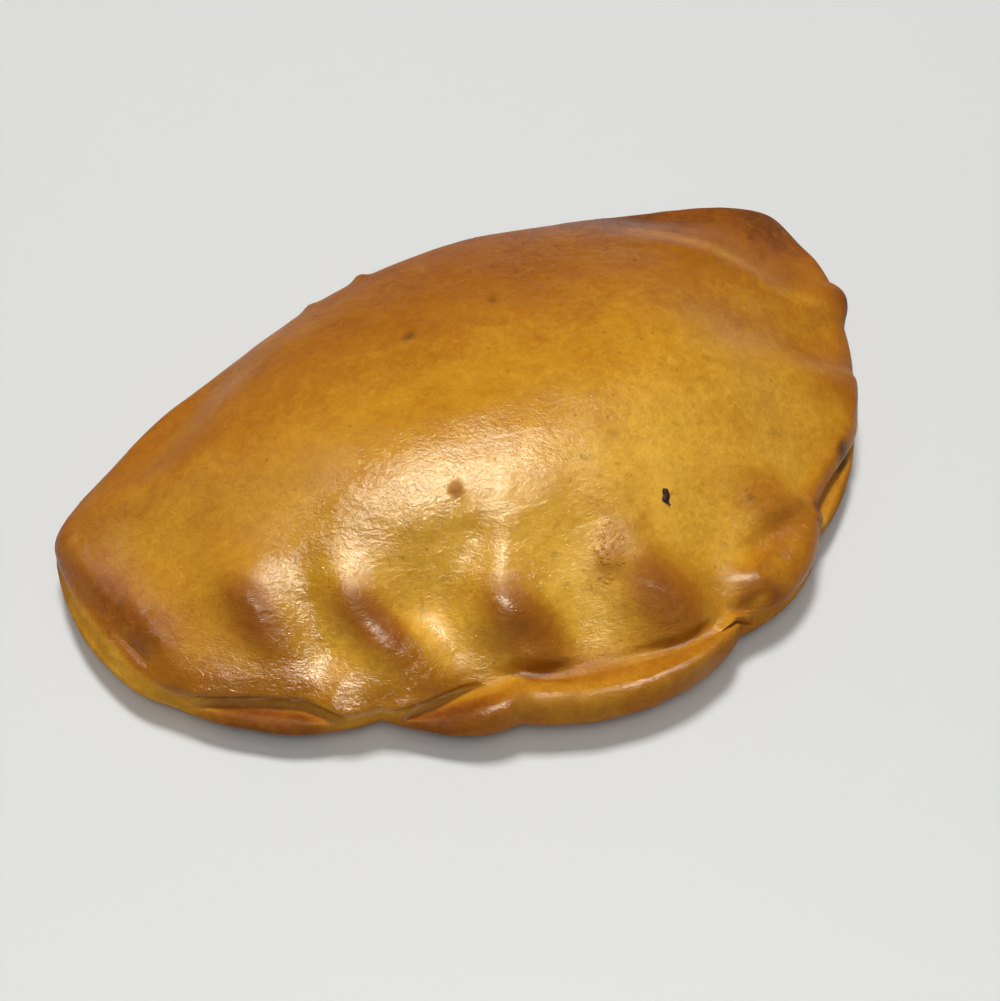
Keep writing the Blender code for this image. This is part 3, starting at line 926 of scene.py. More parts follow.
class Shader(Nodes):
    """One material and the nodes that make it."""

    def __init__(self, name: str) -> None:
        """Starts a material with its first surface.

        Args:
            name: Name of the material.
        """
        self.material = bpy.data.materials.new(name)
        self.material.use_nodes = True
        super().__init__(self.material.node_tree)
        self.surface = self.tree.nodes["Principled BSDF"]

    def attribute(self, name: str) -> Socket:
        """A number kept on the mesh."""
        made = self.node("ShaderNodeAttribute", {"attribute_name": name})
        return Socket(self, made.outputs["Fac"])

    def place(self, stretch: float = 1.0, turn: float = 0.0) -> Socket:
        """Object coordinates, drawn out along a direction of the plan.

        Args:
            stretch: How much longer a pattern gets along the direction.
            turn: The direction, in degrees from the x axis.

        Returns:
            The coordinates.
        """
        source = Socket(self, self.node("ShaderNodeTexCoord").outputs["Object"])
        made = self.node("ShaderNodeMapping", {"vector_type": "TEXTURE"}, {
            "Vector": source, "Scale": (stretch, 1.0, 1.0),
            "Rotation": (0.0, 0.0, math.radians(turn))})
        return Socket(self, made.outputs["Vector"])

    def noise(self, where: Socket, scale: float, detail: float = 3.0,
              roughness: float = 0.55, distortion: float = 0.0) -> Socket:
        """Fractal noise.

        Args:
            where: Coordinates.
            scale: Cells to a metre.
            detail: Number of finer layers.
            roughness: Strength of the finer layers.
            distortion: How much the pattern swirls.

        Returns:
            The noise, about 0.5 in the middle.
        """
        made = self.node("ShaderNodeTexNoise", {}, {
            "Vector": where, "Scale": scale, "Detail": detail,
            "Roughness": roughness, "Distortion": distortion})
        return Socket(self, made.outputs["Fac"])

    def dots(self, where: Socket, scale: float, size: Span, rarity: Span) -> Socket:
        """Round dots in scattered cells.

        Args:
            where: Coordinates.
            scale: Cells to a metre.
            size: Distances at which a dot starts to fade and ends, in cells.
            rarity: Range of the cells' random tints over which dots appear.

        Returns:
            1 on a dot, 0 elsewhere.
        """
        cells = self.node("ShaderNodeTexVoronoi", {}, {"Vector": where, "Scale": scale})
        tint = self.node("ShaderNodeSeparateColor", {}, {"Color": cells.outputs["Color"]})
        near = Socket(self, cells.outputs["Distance"]).between(*size)
        return (1.0 - near) * Socket(self, tint.outputs["Red"]).between(*rarity)

    def ramp(self, value: Socket, stops: Sequence[tuple[float, Colour]]) -> Socket:
        """Colours blended by value.

        Args:
            value: What chooses the colour.
            stops: Places from 0 to 1 and their colours.

        Returns:
            The colour.
        """
        made = self.node("ShaderNodeValToRGB", {}, {"Fac": value})
        elements = made.color_ramp.elements
        while len(elements) < len(stops):
            elements.new(0.5)
        for element, (place, colour) in zip(elements, stops):
            element.position = place
            element.color = (*colour, 1.0)
        return Socket(self, made.outputs["Color"])

    def blend(self, share: Any, first: Any, last: Any) -> Socket:
        """Blends two colours.

        Args:
            share: How much of the second colour, 0 to 1.
            first: First colour.
            last: Second colour.

        Returns:
            The blended colour.
        """
        made = self.node("ShaderNodeMix", {"data_type": "RGBA"},
                         {0: share, 6: first, 7: last})
        return Socket(self, made.outputs[2])

    def bump(self, height: Socket, depth: float, under: Optional[Socket] = None) -> Socket:
        """Raises the surface.

        Args:
            height: Pattern of the relief, 0 to 1.
            depth: Its height in metres.
            under: Normal of the relief it lies on.

        Returns:
            The normal.
        """
        inputs = {"Height": height, "Distance": depth, "Strength": 1.0}
        if under is not None:
            inputs["Normal"] = under
        made = self.node("ShaderNodeBump", {}, inputs)
        return Socket(self, made.outputs["Normal"])

    def dry_surface(self, share: Socket, **sockets: Any) -> None:
        """Blends a second surface with hardly any gloss over the first.

        Args:
            share: Share of the dry surface, 0 to 1.
            **sockets: Values of its sockets, with underscores for spaces.
        """
        dry = self.node("ShaderNodeBsdfPrincipled")
        self.feed_all(dry, sockets)
        both = self.node("ShaderNodeMixShader", {}, {
            0: share, 1: self.surface.outputs[0], 2: dry.outputs[0]})
        output = self.tree.nodes["Material Output"]
        self.feed(output.inputs["Surface"], both.outputs[0])

    def finish(self, **sockets: Any) -> Any:
        """Feeds the first surface and returns the material."""
        self.feed_all(self.surface, sockets)
        return self.material


# --- finishes -------------------------------------------------------------------


@dataclass(frozen=True)
class Grain:
    """A fractal pattern, with how much it changes what it is used for."""

    scale: float
    detail: float
    roughness: float
    distortion: float
    amount: float

    def on(self, shader: Shader, where: Socket) -> Socket:
        """The pattern's value, about 0.5 in the middle."""
        return shader.noise(where, self.scale, self.detail, self.roughness, self.distortion)


@dataclass(frozen=True)
class CrustFinish:
    """Egg-washed baked dough."""

    name: str = "egg_washed_crust"
    # colours from raw to burnt, and the bakes at which they stand
    pale: Colour = (0.92, 0.57, 0.110)
    straw: Colour = (0.83, 0.46, 0.050)
    golden: Colour = (0.54, 0.250, 0.014)
    amber: Colour = (0.39, 0.140, 0.006)
    brown: Colour = (0.27, 0.078, 0.004)
    dark: Colour = (0.14, 0.036, 0.005)
    burnt: Colour = (0.025, 0.009, 0.006)
    stops: tuple[float, ...] = (0.04, 0.20, 0.40, 0.56, 0.74, 0.88, 1.0)
    # mottling of the bake, olive blotches and brown freckles
    clouds: Grain = Grain(60.0, 2.0, 0.5, 0.0, 0.22)
    mottle: Grain = Grain(230.0, 3.0, 0.6, 0.5, 0.20)
    specks: Grain = Grain(760.0, 3.0, 0.6, 0.4, 0.20)
    grain: Grain = Grain(2300.0, 2.0, 0.6, 0.0, 0.14)
    olive: Colour = (0.36, 0.17, 0.010)
    blotches: Grain = Grain(400.0, 3.0, 0.6, 0.5, 0.40)
    blotch_edge: Span = (0.56, 0.72)
    freckle: Colour = (0.20, 0.055, 0.008)
    freckle_scale: float = 420.0
    freckle_size: Span = (0.05, 0.17)
    freckle_rarity: Span = (0.72, 0.82)
    freckle_share: float = 0.45
    # relief of the egg wash, with its height in metres, drawn out along the dome
    wrinkle_stretch: float = 1.6
    wrinkle_direction: float = -29.0
    ripple: Grain = Grain(420.0, 2.0, 0.5, 0.6, 0.00018)
    wrinkles: Grain = Grain(1650.0, 3.0, 0.62, 0.8, 0.000125)
    crinkle: Grain = Grain(5200.0, 2.0, 0.6, 0.3, 0.000040)
    # gloss, and the dry surface that shows where there is no egg wash
    roughness: float = 0.085
    dull_roughness: float = 0.26
    rough_mottle: float = 0.12
    rough_grain: float = 0.06
    specular: float = 0.36
    specular_tint: Colour = (1.0, 0.92, 0.76)
    refraction: float = 1.48
    dry_roughness: float = 0.62
    dry_specular: float = 0.06

    def make(self) -> Any:
        """Builds the material, from the browning and painted shade, wet and char kept on the
        mesh.

        Returns:
            The material.
        """
        shader = Shader(self.name)
        where = shader.place()
        wet = shader.attribute("wet")
        tones = (self.clouds, self.mottle, self.specks, self.grain)
        depth = shader.attribute("bake_and_shade")
        parts = [tone.on(shader, where) - 0.5 for tone in tones]
        for tone, part in zip(tones, parts):
            depth = depth + part * tone.amount
        colours = (self.pale, self.straw, self.golden, self.amber, self.brown, self.dark,
                   self.burnt)
        colour = shader.ramp(depth, list(zip(self.stops, colours)))
        blotch = self.blotches.on(shader, where).between(*self.blotch_edge)
        colour = shader.blend(blotch * self.blotches.amount, colour, self.olive)
        dots = shader.dots(where, self.freckle_scale, self.freckle_size, self.freckle_rarity)
        colour = shader.blend(dots * self.freckle_share, colour, self.freckle)
        colour = shader.blend(shader.attribute("char"), colour, self.burnt)

        along = shader.place(self.wrinkle_stretch, self.wrinkle_direction)
        normal = None
        for relief, place in ((self.ripple, along), (self.wrinkles, along),
                              (self.crinkle, where)):
            normal = shader.bump(relief.on(shader, place), relief.amount, normal)

        rough = wet * (self.roughness - self.dull_roughness) + self.dull_roughness
        rough = rough + parts[1] * self.rough_mottle + parts[3] * self.rough_grain
        shader.dry_surface(1.0 - wet, Specular_IOR_Level=self.dry_specular,
                           Base_Color=colour, Roughness=self.dry_roughness, Normal=normal)
        return shader.finish(Base_Color=colour, Roughness=rough, Normal=normal,
                             Specular_IOR_Level=self.specular,
                             Specular_Tint=self.specular_tint, IOR=self.refraction)


@dataclass(frozen=True)
class FleckFinish:
    """A small charred leaf of dough or herb."""

    name: str = "charred_fleck"
    dark: Colour = (0.035, 0.007, 0.004)
    brown: Colour = (0.110, 0.022, 0.010)
    browning: Span = (0.50, 0.72)
    roughness: float = 0.55
    rough_patches: float = 0.3
    crumple: float = 0.00010
    specular: float = 0.15

    def make(self) -> Any:
        """Builds the material.

        Returns:
            The material.
        """
        shader = Shader(self.name)
        where = shader.place()
        share = shader.noise(where, 1800.0, 2.0).between(*self.browning)
        return shader.finish(
            Base_Color=shader.blend(share, self.dark, self.brown),
            Roughness=shader.noise(where, 1500.0) * self.rough_patches + self.roughness,
            Normal=shader.bump(shader.noise(where, 2600.0), self.crumple),
            Specular_IOR_Level=self.specular)


@dataclass(frozen=True)
class TableFinish:
    """Plain pale table, with slow clouds of a second tint."""

    name: str = "pale_table"
    colour: Colour = (0.605, 0.625, 0.630)
    second: Colour = (0.585, 0.605, 0.610)
    clouds: float = 0.3
    roughness: float = 0.55

    def make(self) -> Any:
        """Builds the material.

        Returns:
            The material.
        """
        shader = Shader(self.name)
        share = shader.noise(shader.place(), 6.0) * self.clouds
        return shader.finish(Base_Color=shader.blend(share, self.colour, self.second),
                             Roughness=self.roughness)


# --- pieces ---------------------------------------------------------------------


def add_object(name: str, data: Any) -> Any:
    """Puts a new object into the scene.

    Args:
        name: Name of the object.
        data: Its mesh, light or camera.

    Returns:
        The object.
    """
    made = bpy.data.objects.new(name, data)
    bpy.context.scene.collection.objects.link(made)
    return made


def add_mesh(name: str, verts: Array, faces: Sequence[Sequence[int]], material: Any) -> Any:
    """Adds a smooth mesh object.

    Args:
        name: Name of the object and its mesh.
        verts: Points, as rows of x, y and z in metres.
        faces: Numbers of each face's points.
        material: Its one material.

    Returns:
        The object.
    """
    mesh = bpy.data.meshes.new(name)
    mesh.from_pydata(verts.tolist(), [], faces)
    mesh.shade_smooth()
    mesh.materials.append(material)
    return add_object(name, mesh)


def keep(piece: Any) -> Any:
    """Lets a new piece ride on the bun.

    Args:
        piece: The piece.

    Returns:
        The same piece.
    """
    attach(piece, BODY)
    return piece


@dataclass
class Crust:
    """The bun's crust: one closed skin from the dome to the flat base."""

    form: CrustForm = field(default_factory=CrustForm)
    bake_and_shade: BakeAndShade = BakeAndShade()
    undulation: Undulation = Undulation()
    finish: CrustFinish = CrustFinish()
    marks: tuple[Fold, ...] = (
        # pits of the dome and the left end
        Fold(-0.0112, -0.0076, 20, 0.0011, 0.0008, -0.00035, 0.6, 2.0),
        Fold(0.0030, -0.0072, 60, 0.0008, 0.0006, -0.00030, 0.6, 2.0),
        Fold(-0.0479, -0.0171, 30, 0.0007, 0.0006, -0.00025, 0.6, 2.0),
        # pimple, and two blisters of the rear slope
        Fold(-0.0179, -0.0352, 0, 0.0010, 0.0009, 0.00022, 0.3, 4.0),
        Fold(-0.0090, 0.0141, 0, 0.0011, 0.0009, 0.00080, 0.6, 2.0),
        Fold(-0.0180, 0.0140, 0, 0.0012, 0.0009, 0.00045, 0.6, 2.0),
        # broken crest of the left end's fold, and the step below it
        Fold(-0.0617, -0.0230, 272, 0.0056, 0.0011, 0.00030, 0.5, 3.0),
        Fold(-0.0616, -0.0212, 265, 0.0010, 0.0009, 0.00020, 0.6, 2.0),
        Fold(-0.0613, -0.0244, 280, 0.0010, 0.0008, 0.00022, 0.6, 2.0),
        Fold(-0.0612, -0.0270, 275, 0.0009, 0.0008, 0.00020, 0.6, 2.0),
        Fold(-0.0655, -0.0262, 305, 0.0070, 0.0010, -0.00050, 0.4, 3.0),
        # curl of the knot
        Fold(0.0172, -0.0612, 355, 0.0026, 0.0005, -0.00045, 0.3, 3.0),
        Fold(0.0214, -0.0598, 300, 0.0020, 0.0005, -0.00040, 0.3, 3.0),
        Fold(0.0182, -0.0586, 335, 0.0026, 0.0008, 0.00022, 0.4, 3.0),
        # soft crease behind the fifth pleat, and small blisters
        Fold(0.0245, -0.0541, 13, 0.0064, 0.0011, -0.00035, 0.5, 3.0),
        Fold(0.0238, -0.0487, 0, 0.0009, 0.0007, 0.00022, 0.5, 2.0),
        Fold(0.0128, -0.0508, 0, 0.0007, 0.0006, 0.00022, 0.5, 2.0),
        # bubbly skin under the cluster of blisters
        Fold(-0.0026, -0.0489, 20, 0.0008, 0.0006, 0.00024, 0.5, 2.0),
        Fold(-0.0012, -0.0493, 60, 0.0007, 0.0006, 0.00026, 0.5, 2.0),
        Fold(-0.0020, -0.0503, 40, 0.0008, 0.0006, 0.00028, 0.5, 2.0),
        Fold(-0.0006, -0.0507, 10, 0.0007, 0.0005, 0.00024, 0.5, 2.0),
        # light ridge across the right end's back, and the fold's edge
        Fold(0.0420, -0.0095, 325, 0.0150, 0.0014, 0.00040, 0.6, 3.0),
        Fold(0.0500, -0.0295, 322, 0.0060, 0.0009, 0.00040, 0.4, 3.0),
    )
    dull_patches: tuple[Patch, ...] = (
        # pimple, back of the dome, and the backs of both ends
        Patch(-0.0179, -0.0352, 0, 0.0012, 0.0012, 0.90, 5.0),
        Patch(0.0560, 0.0010, 140, 0.0260, 0.0150, 0.95, 3.0),
        Patch(0.0000, 0.0170, 0, 0.0620, 0.0130, 0.90, 3.0),
        Patch(-0.0560, 0.0060, 20, 0.0200, 0.0110, 0.80, 3.0),
        Patch(0.0600, -0.0240, 60, 0.0160, 0.0100, 0.60, 3.0),
        # valleys between the pleats, with a bright line in the second
        Patch(-0.0020, -0.0535, 300, 0.0070, 0.0036, 0.70, 3.0),
        Patch(-0.0270, -0.0468, 290, 0.0080, 0.0036, 0.85, 3.0),
        Patch(-0.0268, -0.0468, 287, 0.0042, 0.0008, -0.95, 2.4),
        Patch(-0.0545, -0.0180, 280, 0.0120, 0.0046, 0.65, 3.0),
        Patch(-0.0560, -0.0330, 300, 0.0070, 0.0040, 0.60, 3.0),
        # front of the dome
        Patch(-0.0400, -0.0140, 20, 0.0240, 0.0130, 0.92, 4.0),
        Patch(0.0290, -0.0490, 20, 0.0110, 0.0075, 0.85, 3.0),
        Patch(0.0130, -0.0400, 20, 0.0170, 0.0110, 0.75, 3.0),
        # groove above the roll, and the knot with its glossy crest
        Patch(-0.0060, -0.0592, 352, 0.0150, 0.0026, 0.85, 3.0),
        Patch(-0.0212, -0.0562, 345, 0.0040, 0.0020, 0.90, 3.0),
        Patch(0.0180, -0.0600, 330, 0.0055, 0.0036, 0.95, 3.0),
        Patch(0.0180, -0.0588, 330, 0.0026, 0.0007, -0.90, 3.0),
        # gloss on the roll and on the lower layer
        Patch(-0.0010, -0.0651, 352, 0.0085, 0.0016, -0.95, 3.0),
        Patch(-0.0165, -0.0600, 340, 0.0024, 0.0010, -0.90, 3.0),
        Patch(-0.0240, -0.0590, 340, 0.0030, 0.0009, -0.80, 3.0),
        # browned hollows of the pleats, and their glossy crests
        Patch(-0.0494, -0.0325, 285, 0.0066, 0.0034, 0.90, 3.0),
        Patch(-0.0354, -0.0424, 296, 0.0062, 0.0032, 0.95, 3.0),
        Patch(-0.0172, -0.0500, 302, 0.0065, 0.0034, 0.80, 3.0),
        Patch(0.0045, -0.0560, 318, 0.0065, 0.0045, 0.85, 3.0),
        Patch(-0.0486, -0.0330, 283, 0.0026, 0.0004, -0.80, 2.4),
        Patch(-0.0350, -0.0440, 296, 0.0026, 0.0004, -0.80, 2.4),
        Patch(-0.0174, -0.0500, 302, 0.0030, 0.0004, -0.80, 2.4),
        Patch(0.0026, -0.0556, 322, 0.0024, 0.0004, -0.80, 2.4),
    )
    burnt_spots: tuple[Patch, ...] = (
        Patch(-0.0112, -0.0076, 20, 0.0011, 0.0008, 0.55, 3.0),
        Patch(0.0030, -0.0072, 60, 0.0008, 0.0007, 0.45, 3.0),
        Patch(0.0452, -0.0438, 45, 0.0020, 0.0010, 0.80, 3.0),
        Patch(0.0351, -0.0514, 70, 0.0011, 0.0008, 0.70, 3.0),
        Patch(0.0238, -0.0487, 20, 0.0007, 0.0004, 0.35, 3.0),
    )
    # cluster of blisters, fine blisters and egg wash, and the levels at which they end
    cluster: Patch = Patch(-0.0014, -0.0498, 38, 0.0034, 0.0021, 1.0, 4.0)
    blister_levels: Span = (8.0, 10.5)
    wash_share: float = 0.94
    wash_levels: Span = (9.8, 10.5)
    # known once the crust is built
    middle: Span = (0.0, 0.0)
    net: Optional[Lattice] = None

    def shares(self, net: Lattice) -> dict[str, Array]:
        """Works out what changes over the skin, by the names it is kept under.

        Args:
            net: The crust's lattice before its fine relief.

        Returns:
            The browning with its painted shade, egg wash, char and the shares of both kinds of
            blisters.
        """
        x, y, level = net.plan_places()
        wash = 1.0 - self.wash_share * step(*self.wash_levels, level)
        return {
            "bake_and_shade": self.bake_and_shade.at(net),
            "wet": np.clip(wash - heap(self.dull_patches, x, y), 0.0, 1.0),
            "char": np.clip(heap(self.burnt_spots, x, y), 0.0, 1.0),
            "blister_share": 1.0 - step(*self.blister_levels, level),
            "cluster_share": self.cluster.at(x, y) * (level < LIP_LEVEL),
        }

    def spot(self, x: float, y: float) -> tuple[Vector, Vector]:
        """Finds the skin over a point of the plan.

        Args:
            x: Place in the lattice's plan.
            y: Place in the lattice's plan.

        Returns:
            The skin's place in the scene and its normal.
        """
        rows = int(np.searchsorted(self.net.level, LIP_LEVEL))
        points = self.net.points[:rows]
        gap = np.hypot(points[..., 0] - x, points[..., 1] - y)
        row, column = np.unravel_index(gap.argmin(), gap.shape)
        place = points[row, column] - np.array([*self.middle, 0.0])
        return Vector(place), Vector(self.net.normals()[row, column])

    @staticmethod
    def faces(rows: int, columns: int) -> list[list[int]]:
        """Faces of the skin, with the top and the base's middle as last points.

        Args:
            rows: Rows of the lattice, of which the first is the top point.
            columns: Columns of the lattice.

        Returns:
            Numbers of each face's points.
        """
        top = (rows - 1) * columns
        row = np.arange(rows - 2)[:, None] * columns
        here = np.arange(columns)[None, :]
        after = (here + 1) % columns
        quads = np.stack([row + here, row + columns + here, row + columns + after,
                          row + after], -1).reshape(-1, 4)
        crown = np.stack([np.full(columns, top), here[0], after[0]], -1)
        last = (rows - 2) * columns
        floor = np.stack([last + here[0], np.full(columns, top + 1), last + after[0]], -1)
        return quads.tolist() + crown.tolist() + floor.tolist()

    def build(self) -> Any:
        """Builds and dresses the crust.

        Returns:
            The finished object, riding on the CAD body.
        """
        net = self.form.lattice()
        shares = self.shares(net)
        x, y, level = net.plan_places()
        height = self.undulation.at(net) + heap(self.marks, x, y) * (level < LIP_LEVEL)
        net.points = net.points + net.normals() * height[..., None]
        self.net = net
        low, high = net.points.min(axis=(0, 1)), net.points.max(axis=(0, 1))
        self.middle = (0.5 * (low[0] + high[0]), 0.5 * (low[1] + high[1]))
        points = net.points - np.array([*self.middle, 0.0])

        rows, columns = points.shape[:2]
        verts = np.vstack([points[1:].reshape(-1, 3), points[0, :1],
                           points[-1].mean(axis=0)[None]])
        crust = add_mesh("crust", verts, self.faces(rows, columns), self.finish.make())
        for name in shares:
            crust.data.attributes.new(name, "FLOAT", "POINT")
        for name, values in shares.items():
            full = np.broadcast_to(values, (rows, columns))
            kept = np.append(full[1:].ravel(), [full[0, 0], full[-1, 0]])
            crust.data.attributes[name].data.foreach_set("value", kept.astype(np.float32))
        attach(crust, BODY)
        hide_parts(NODE)
        return crust


@dataclass
class Blisters:
    """Fine blisters scattered over a mesh, denser where a share is high."""

    name: str
    share: str
    per_square_metre: float
    smallest: float
    largest: float
    flatness: float
    sink: float
    seed: int
    segments: int = 9
    rings: int = 6
    size_power: float = 2.4

    def tree(self) -> Any:
        """Node tree that scatters the blisters.

        Returns:
            The tree, with the blisters' sizes, density and material as inputs.
        """
        nodes = Nodes(bpy.data.node_groups.new(self.name, "GeometryNodeTree"))
        for label, way, kind in (
            ("Geometry", "INPUT", "Geometry"), ("Density", "INPUT", "Float"),
            ("Smallest", "INPUT", "Float"), ("Largest", "INPUT", "Float"),
            ("Material", "INPUT", "Material"), ("Geometry", "OUTPUT", "Geometry"),
        ):
            nodes.tree.interface.new_socket(label, in_out=way,
                                            socket_type=f"NodeSocket{kind}")
        source = nodes.node("NodeGroupInput").outputs
        share = nodes.node("GeometryNodeInputNamedAttribute", {"data_type": "FLOAT"},
                           {"Name": self.share})
        density = nodes.node("ShaderNodeMath", {"operation": "MULTIPLY"}, {
            0: share.outputs["Attribute"], 1: source["Density"]})
        points = nodes.node("GeometryNodeDistributePointsOnFaces", {}, {
            "Mesh": source["Geometry"], "Density": density.outputs[0], "Seed": self.seed})
        ball = nodes.node("GeometryNodeMeshUVSphere", {}, {
            "Segments": self.segments, "Rings": self.rings, "Radius": 1.0})
        flat = nodes.node("GeometryNodeTransform", {}, {
            "Geometry": ball.outputs["Mesh"], "Scale": (1.0, 1.0, self.flatness),
            "Translation": (0.0, 0.0, -self.sink * self.flatness)})
        size = nodes.node("FunctionNodeRandomValue", {"data_type": "FLOAT"}, {
            "Seed": self.seed + 1})
        skewed = nodes.node("ShaderNodeMath", {"operation": "POWER"}, {
            0: size.outputs[1], 1: self.size_power})
        scale = nodes.node("ShaderNodeMapRange", {}, {
            "Value": skewed.outputs[0], "To Min": source["Smallest"],
            "To Max": source["Largest"]})
        placed = nodes.node("GeometryNodeInstanceOnPoints", {}, {
            "Points": points.outputs["Points"], "Instance": flat.outputs["Geometry"],
            "Rotation": points.outputs["Rotation"], "Scale": scale.outputs["Result"]})
        made = placed.outputs["Instances"]
        for kind, inputs in (("RealizeInstances", {}), ("SetShadeSmooth", {}),
                             ("SetMaterial", {"Material": source["Material"]})):
            changed = nodes.node(f"GeometryNode{kind}", {}, {"Geometry": made, **inputs})
            made = changed.outputs["Geometry"]
        nodes.node("NodeGroupOutput", {}, {"Geometry": made})
        return nodes.tree

    def build(self, crust: Any) -> Any:
        """Scatters the blisters over the crust.

        Args:
            crust: The finished crust, whose mesh carries the share.

        Returns:
            The blisters as one plain mesh object.
        """
        carrier = add_object(f"{self.name}_carrier", crust.data.copy())
        modifier = carrier.modifiers.new("scatter", "NODES")
        tree = self.tree()
        modifier.node_group = tree
        values = {"Density": self.per_square_metre, "Smallest": self.smallest,
                  "Largest": self.largest, "Material": crust.data.materials[0]}
        for item in tree.interface.items_tree:
            if item.in_out == "INPUT" and item.name in values:
                modifier[item.identifier] = values[item.name]
        bpy.context.view_layer.update()
        graph = bpy.context.evaluated_depsgraph_get()
        mesh = bpy.data.meshes.new_from_object(carrier.evaluated_get(graph))
        carrier.modifiers.remove(modifier)
        spare = carrier.data
        bpy.data.objects.remove(carrier, do_unlink=True)
        bpy.data.meshes.remove(spare)
        mesh.name = self.name
        return keep(add_object(self.name, mesh))


@dataclass(frozen=True)
class Wave:
    """A wave along the fleck: its size, its length in radians and its start."""

    size: float
    radians: float
    start: float = 0.0

    def at(self, share: float) -> float:
        """Value of the wave at a share of the fleck's length."""
        return self.size * math.sin(self.radians * share + self.start)


@dataclass
class Fleck:
    """A charred leaf-shaped fleck that lies on the crust."""

    name: str = "charred_fleck"
    x: float = 0.0104
    y: float = -0.0461
    direction: float = -78.0
    length: float = 0.0027
    width: float = 0.0013
    thickness: float = 0.00022
    lift: float = 0.00022
    end_width: float = 0.00004
    fullness: Span = (0.8, 1.2)
    curl: Wave = Wave(0.00022, 5.2, 0.5 * math.pi)
    ragged_edge: Wave = Wave(0.28, 13.0, 0.6)
    sway: Wave = Wave(0.16, 6.0)
    finish: FleckFinish = FleckFinish()
    points: int = 14

    def build(self, crust: Crust) -> Any:
        """Lays the fleck on the crust's skin.

        Args:
            crust: The crust it lies on.

        Returns:
            The finished object.
        """
        spot, normal = crust.spot(self.x, self.y)
        turn = math.radians(self.direction)
        along = Vector((math.cos(turn), math.sin(turn), 0.0))
        across = normal.cross(along).normalized()
        along = across.cross(normal).normalized()
        thick = normal * self.thickness * 0.5
        verts = []
        for number in range(self.points):
            share = number / (self.points - 1)
            leaf = math.sin(math.pi * share ** self.fullness[0]) ** self.fullness[1]
            width = self.width * leaf * (1.0 + self.ragged_edge.at(share)) + self.end_width
            side = across * 0.5 * width
            middle = spot + along * (share - 0.5) * self.length
            middle = middle + normal * (self.curl.at(share) + self.lift)
            middle = middle + across * self.width * self.sway.at(share)
            verts += [middle + side + thick, middle + side - thick,
                      middle - side - thick, middle - side + thick]
        faces: list[tuple[int, ...]] = [(0, 1, 2, 3)]
        for number in range(self.points - 1):
            for corner in range(4):
                here, after = 4 * number + corner, 4 * number + (corner + 1) % 4
                faces.append((here, here + 4, after + 4, after))
        last = 4 * (self.points - 1)
        faces.append((last + 3, last + 2, last + 1, last))
        return keep(add_mesh(self.name, np.array(verts), faces, self.finish.make()))


# --- studio -----------------------------------------------------------------------


class LampShape(Enum):
    """Shape of a lamp's face."""

    SQUARE = "SQUARE"
    OBLONG = "RECTANGLE"


@dataclass(frozen=True)
class Lamp:
    """A soft lamp that faces the bun, for its light, its glints or both."""

    name: str
    place: Place
    size: float
    power: float
    colour: Colour = (1.0, 1.0, 1.0)
    shape: LampShape = LampShape.SQUARE
    length: float = 0.0
    lights: bool = True
    glints: bool = True

    def build(self, target: Vector) -> Any:
        """Hangs the lamp and turns it to the target.

        Args:
            target: What it faces.

        Returns:
            The lamp.
        """
        data = bpy.data.lights.new(self.name, "AREA")
        data.energy = self.power
        data.size = self.size
        data.shape = self.shape.value
        if self.shape is LampShape.OBLONG:
            data.size_y = self.length
        data.color = self.colour
        lamp = add_object(self.name, data)
        lamp.location = self.place
        direction = target - Vector(self.place)
        lamp.rotation_euler = direction.to_track_quat("-Z", "Y").to_euler()
        lamp.visible_diffuse = self.lights
        lamp.visible_glossy = self.glints
        return lamp


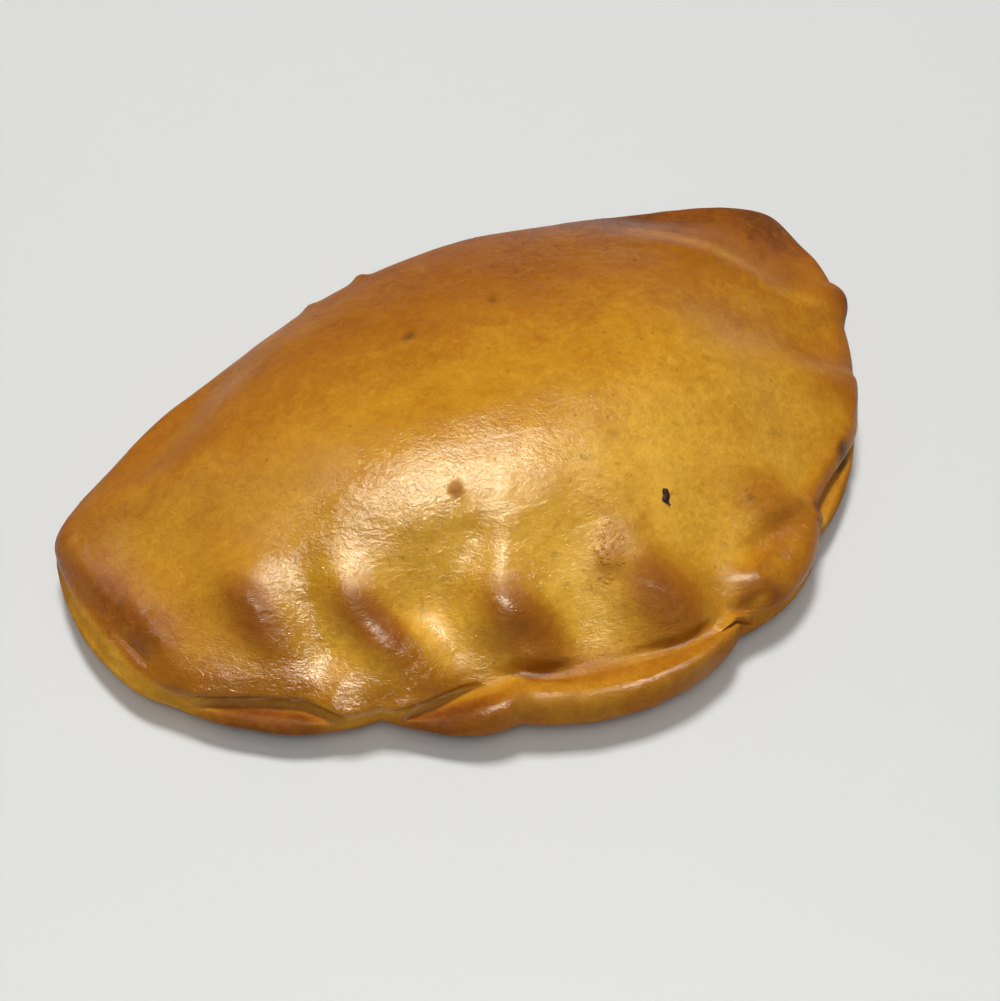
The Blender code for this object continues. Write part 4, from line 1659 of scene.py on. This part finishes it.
@dataclass
class Studio:
    """Table, lamps and camera."""

    table_size: float = 2.4
    table: TableFinish = TableFinish()
    lamps: tuple[Lamp, ...] = (
        Lamp("key", (0.12, 0.31, 1.04), 0.22, 10.4, (1.0, 0.98, 0.96), glints=False),
        Lamp("fill", (-0.26, -0.47, 1.00), 0.40, 3.2, (1.0, 0.98, 0.96), glints=False),
        Lamp("ceiling", (-0.22, -0.39, 1.11), 0.42, 47.0, (1.0, 0.97, 0.94),
             LampShape.OBLONG, 0.86, lights=False),
        Lamp("side", (-0.66, 0.50, 0.96), 0.15, 6.0, (1.0, 0.97, 0.94), lights=False),
        Lamp("right", (0.33, -0.42, 1.03), 0.16, 9.0, (1.0, 0.97, 0.94), lights=False),
    )
    sky: Colour = (1.0, 0.94, 0.84)
    sky_strength: float = 0.12
    azimuth: float = -29.08
    elevation: float = 52.64
    roll: float = 0.64
    distance: float = 0.2756
    focal_length: float = 66.33
    aim: Place = (-0.0050, -0.0049, 0.0120)

    def build_table(self) -> Any:
        """Lays the table under the bun.

        Returns:
            The table.
        """
        half = 0.5 * self.table_size
        corners = np.array([(-half, -half, 0.0), (half, -half, 0.0),
                            (half, half, 0.0), (-half, half, 0.0)])
        table = add_mesh("table", corners, [(0, 1, 2, 3)], self.table.make())
        return table

    def build_sky(self) -> None:
        """Even soft light from all round."""
        world = bpy.data.worlds.new("studio")
        bpy.context.scene.world = world
        world.use_nodes = True
        background = world.node_tree.nodes["Background"]
        background.inputs["Color"].default_value = (*self.sky, 1.0)
        background.inputs["Strength"].default_value = self.sky_strength

    def build_camera(self) -> Any:
        """Sets the camera at the viewing angle.

        Returns:
            The camera.
        """
        turn, tilt = math.radians(self.azimuth), math.radians(self.elevation)
        toward = Vector((math.sin(turn) * math.cos(tilt),
                         -math.cos(turn) * math.cos(tilt), math.sin(tilt)))
        data = bpy.data.cameras.new("camera")
        data.lens = self.focal_length
        data.dof.use_dof = False
        camera = add_object("camera", data)
        level = (-toward).to_track_quat("-Z", "Y").to_matrix().to_4x4()
        roll = Matrix.Rotation(math.radians(self.roll), 4, "Z")
        place = Matrix.Translation(Vector(self.aim) + toward * self.distance)
        camera.matrix_world = place @ level @ roll
        bpy.context.scene.camera = camera
        return camera

    def build(self) -> None:
        """Builds table, light and camera."""
        self.build_table()
        self.build_sky()
        for lamp in self.lamps:
            lamp.build(Vector(self.aim))
        bpy.context.scene.view_settings.view_transform = "Standard"
        self.build_camera()


def triangles(piece: Any) -> int:
    """Number of triangles of a mesh object."""
    return sum(len(face.vertices) - 2 for face in piece.data.polygons)


def main() -> None:
    """Builds the bun on its frame, then the studio round it."""
    logging.basicConfig(level=logging.INFO, format="%(name)s: %(message)s")
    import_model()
    bun = Crust()
    crust = bun.build()
    LOG.info("crust: %d triangles", triangles(crust))
    fine = Blisters("fine_blisters", "blister_share", per_square_metre=60000.0,
                    smallest=0.00007, largest=0.00026, flatness=0.45, sink=0.25, seed=5)
    cluster = Blisters("blister_cluster", "cluster_share", per_square_metre=3.4e6,
                       smallest=0.00010, largest=0.00034, flatness=0.50, sink=0.20, seed=9)
    for piece in (fine.build(crust), cluster.build(crust), Fleck().build(bun)):
        LOG.info("%s: %d triangles", piece.name, triangles(piece))
    Studio().build()
    LOG.info("studio: table, lamps and camera")


if __name__ == "__main__":
    main()
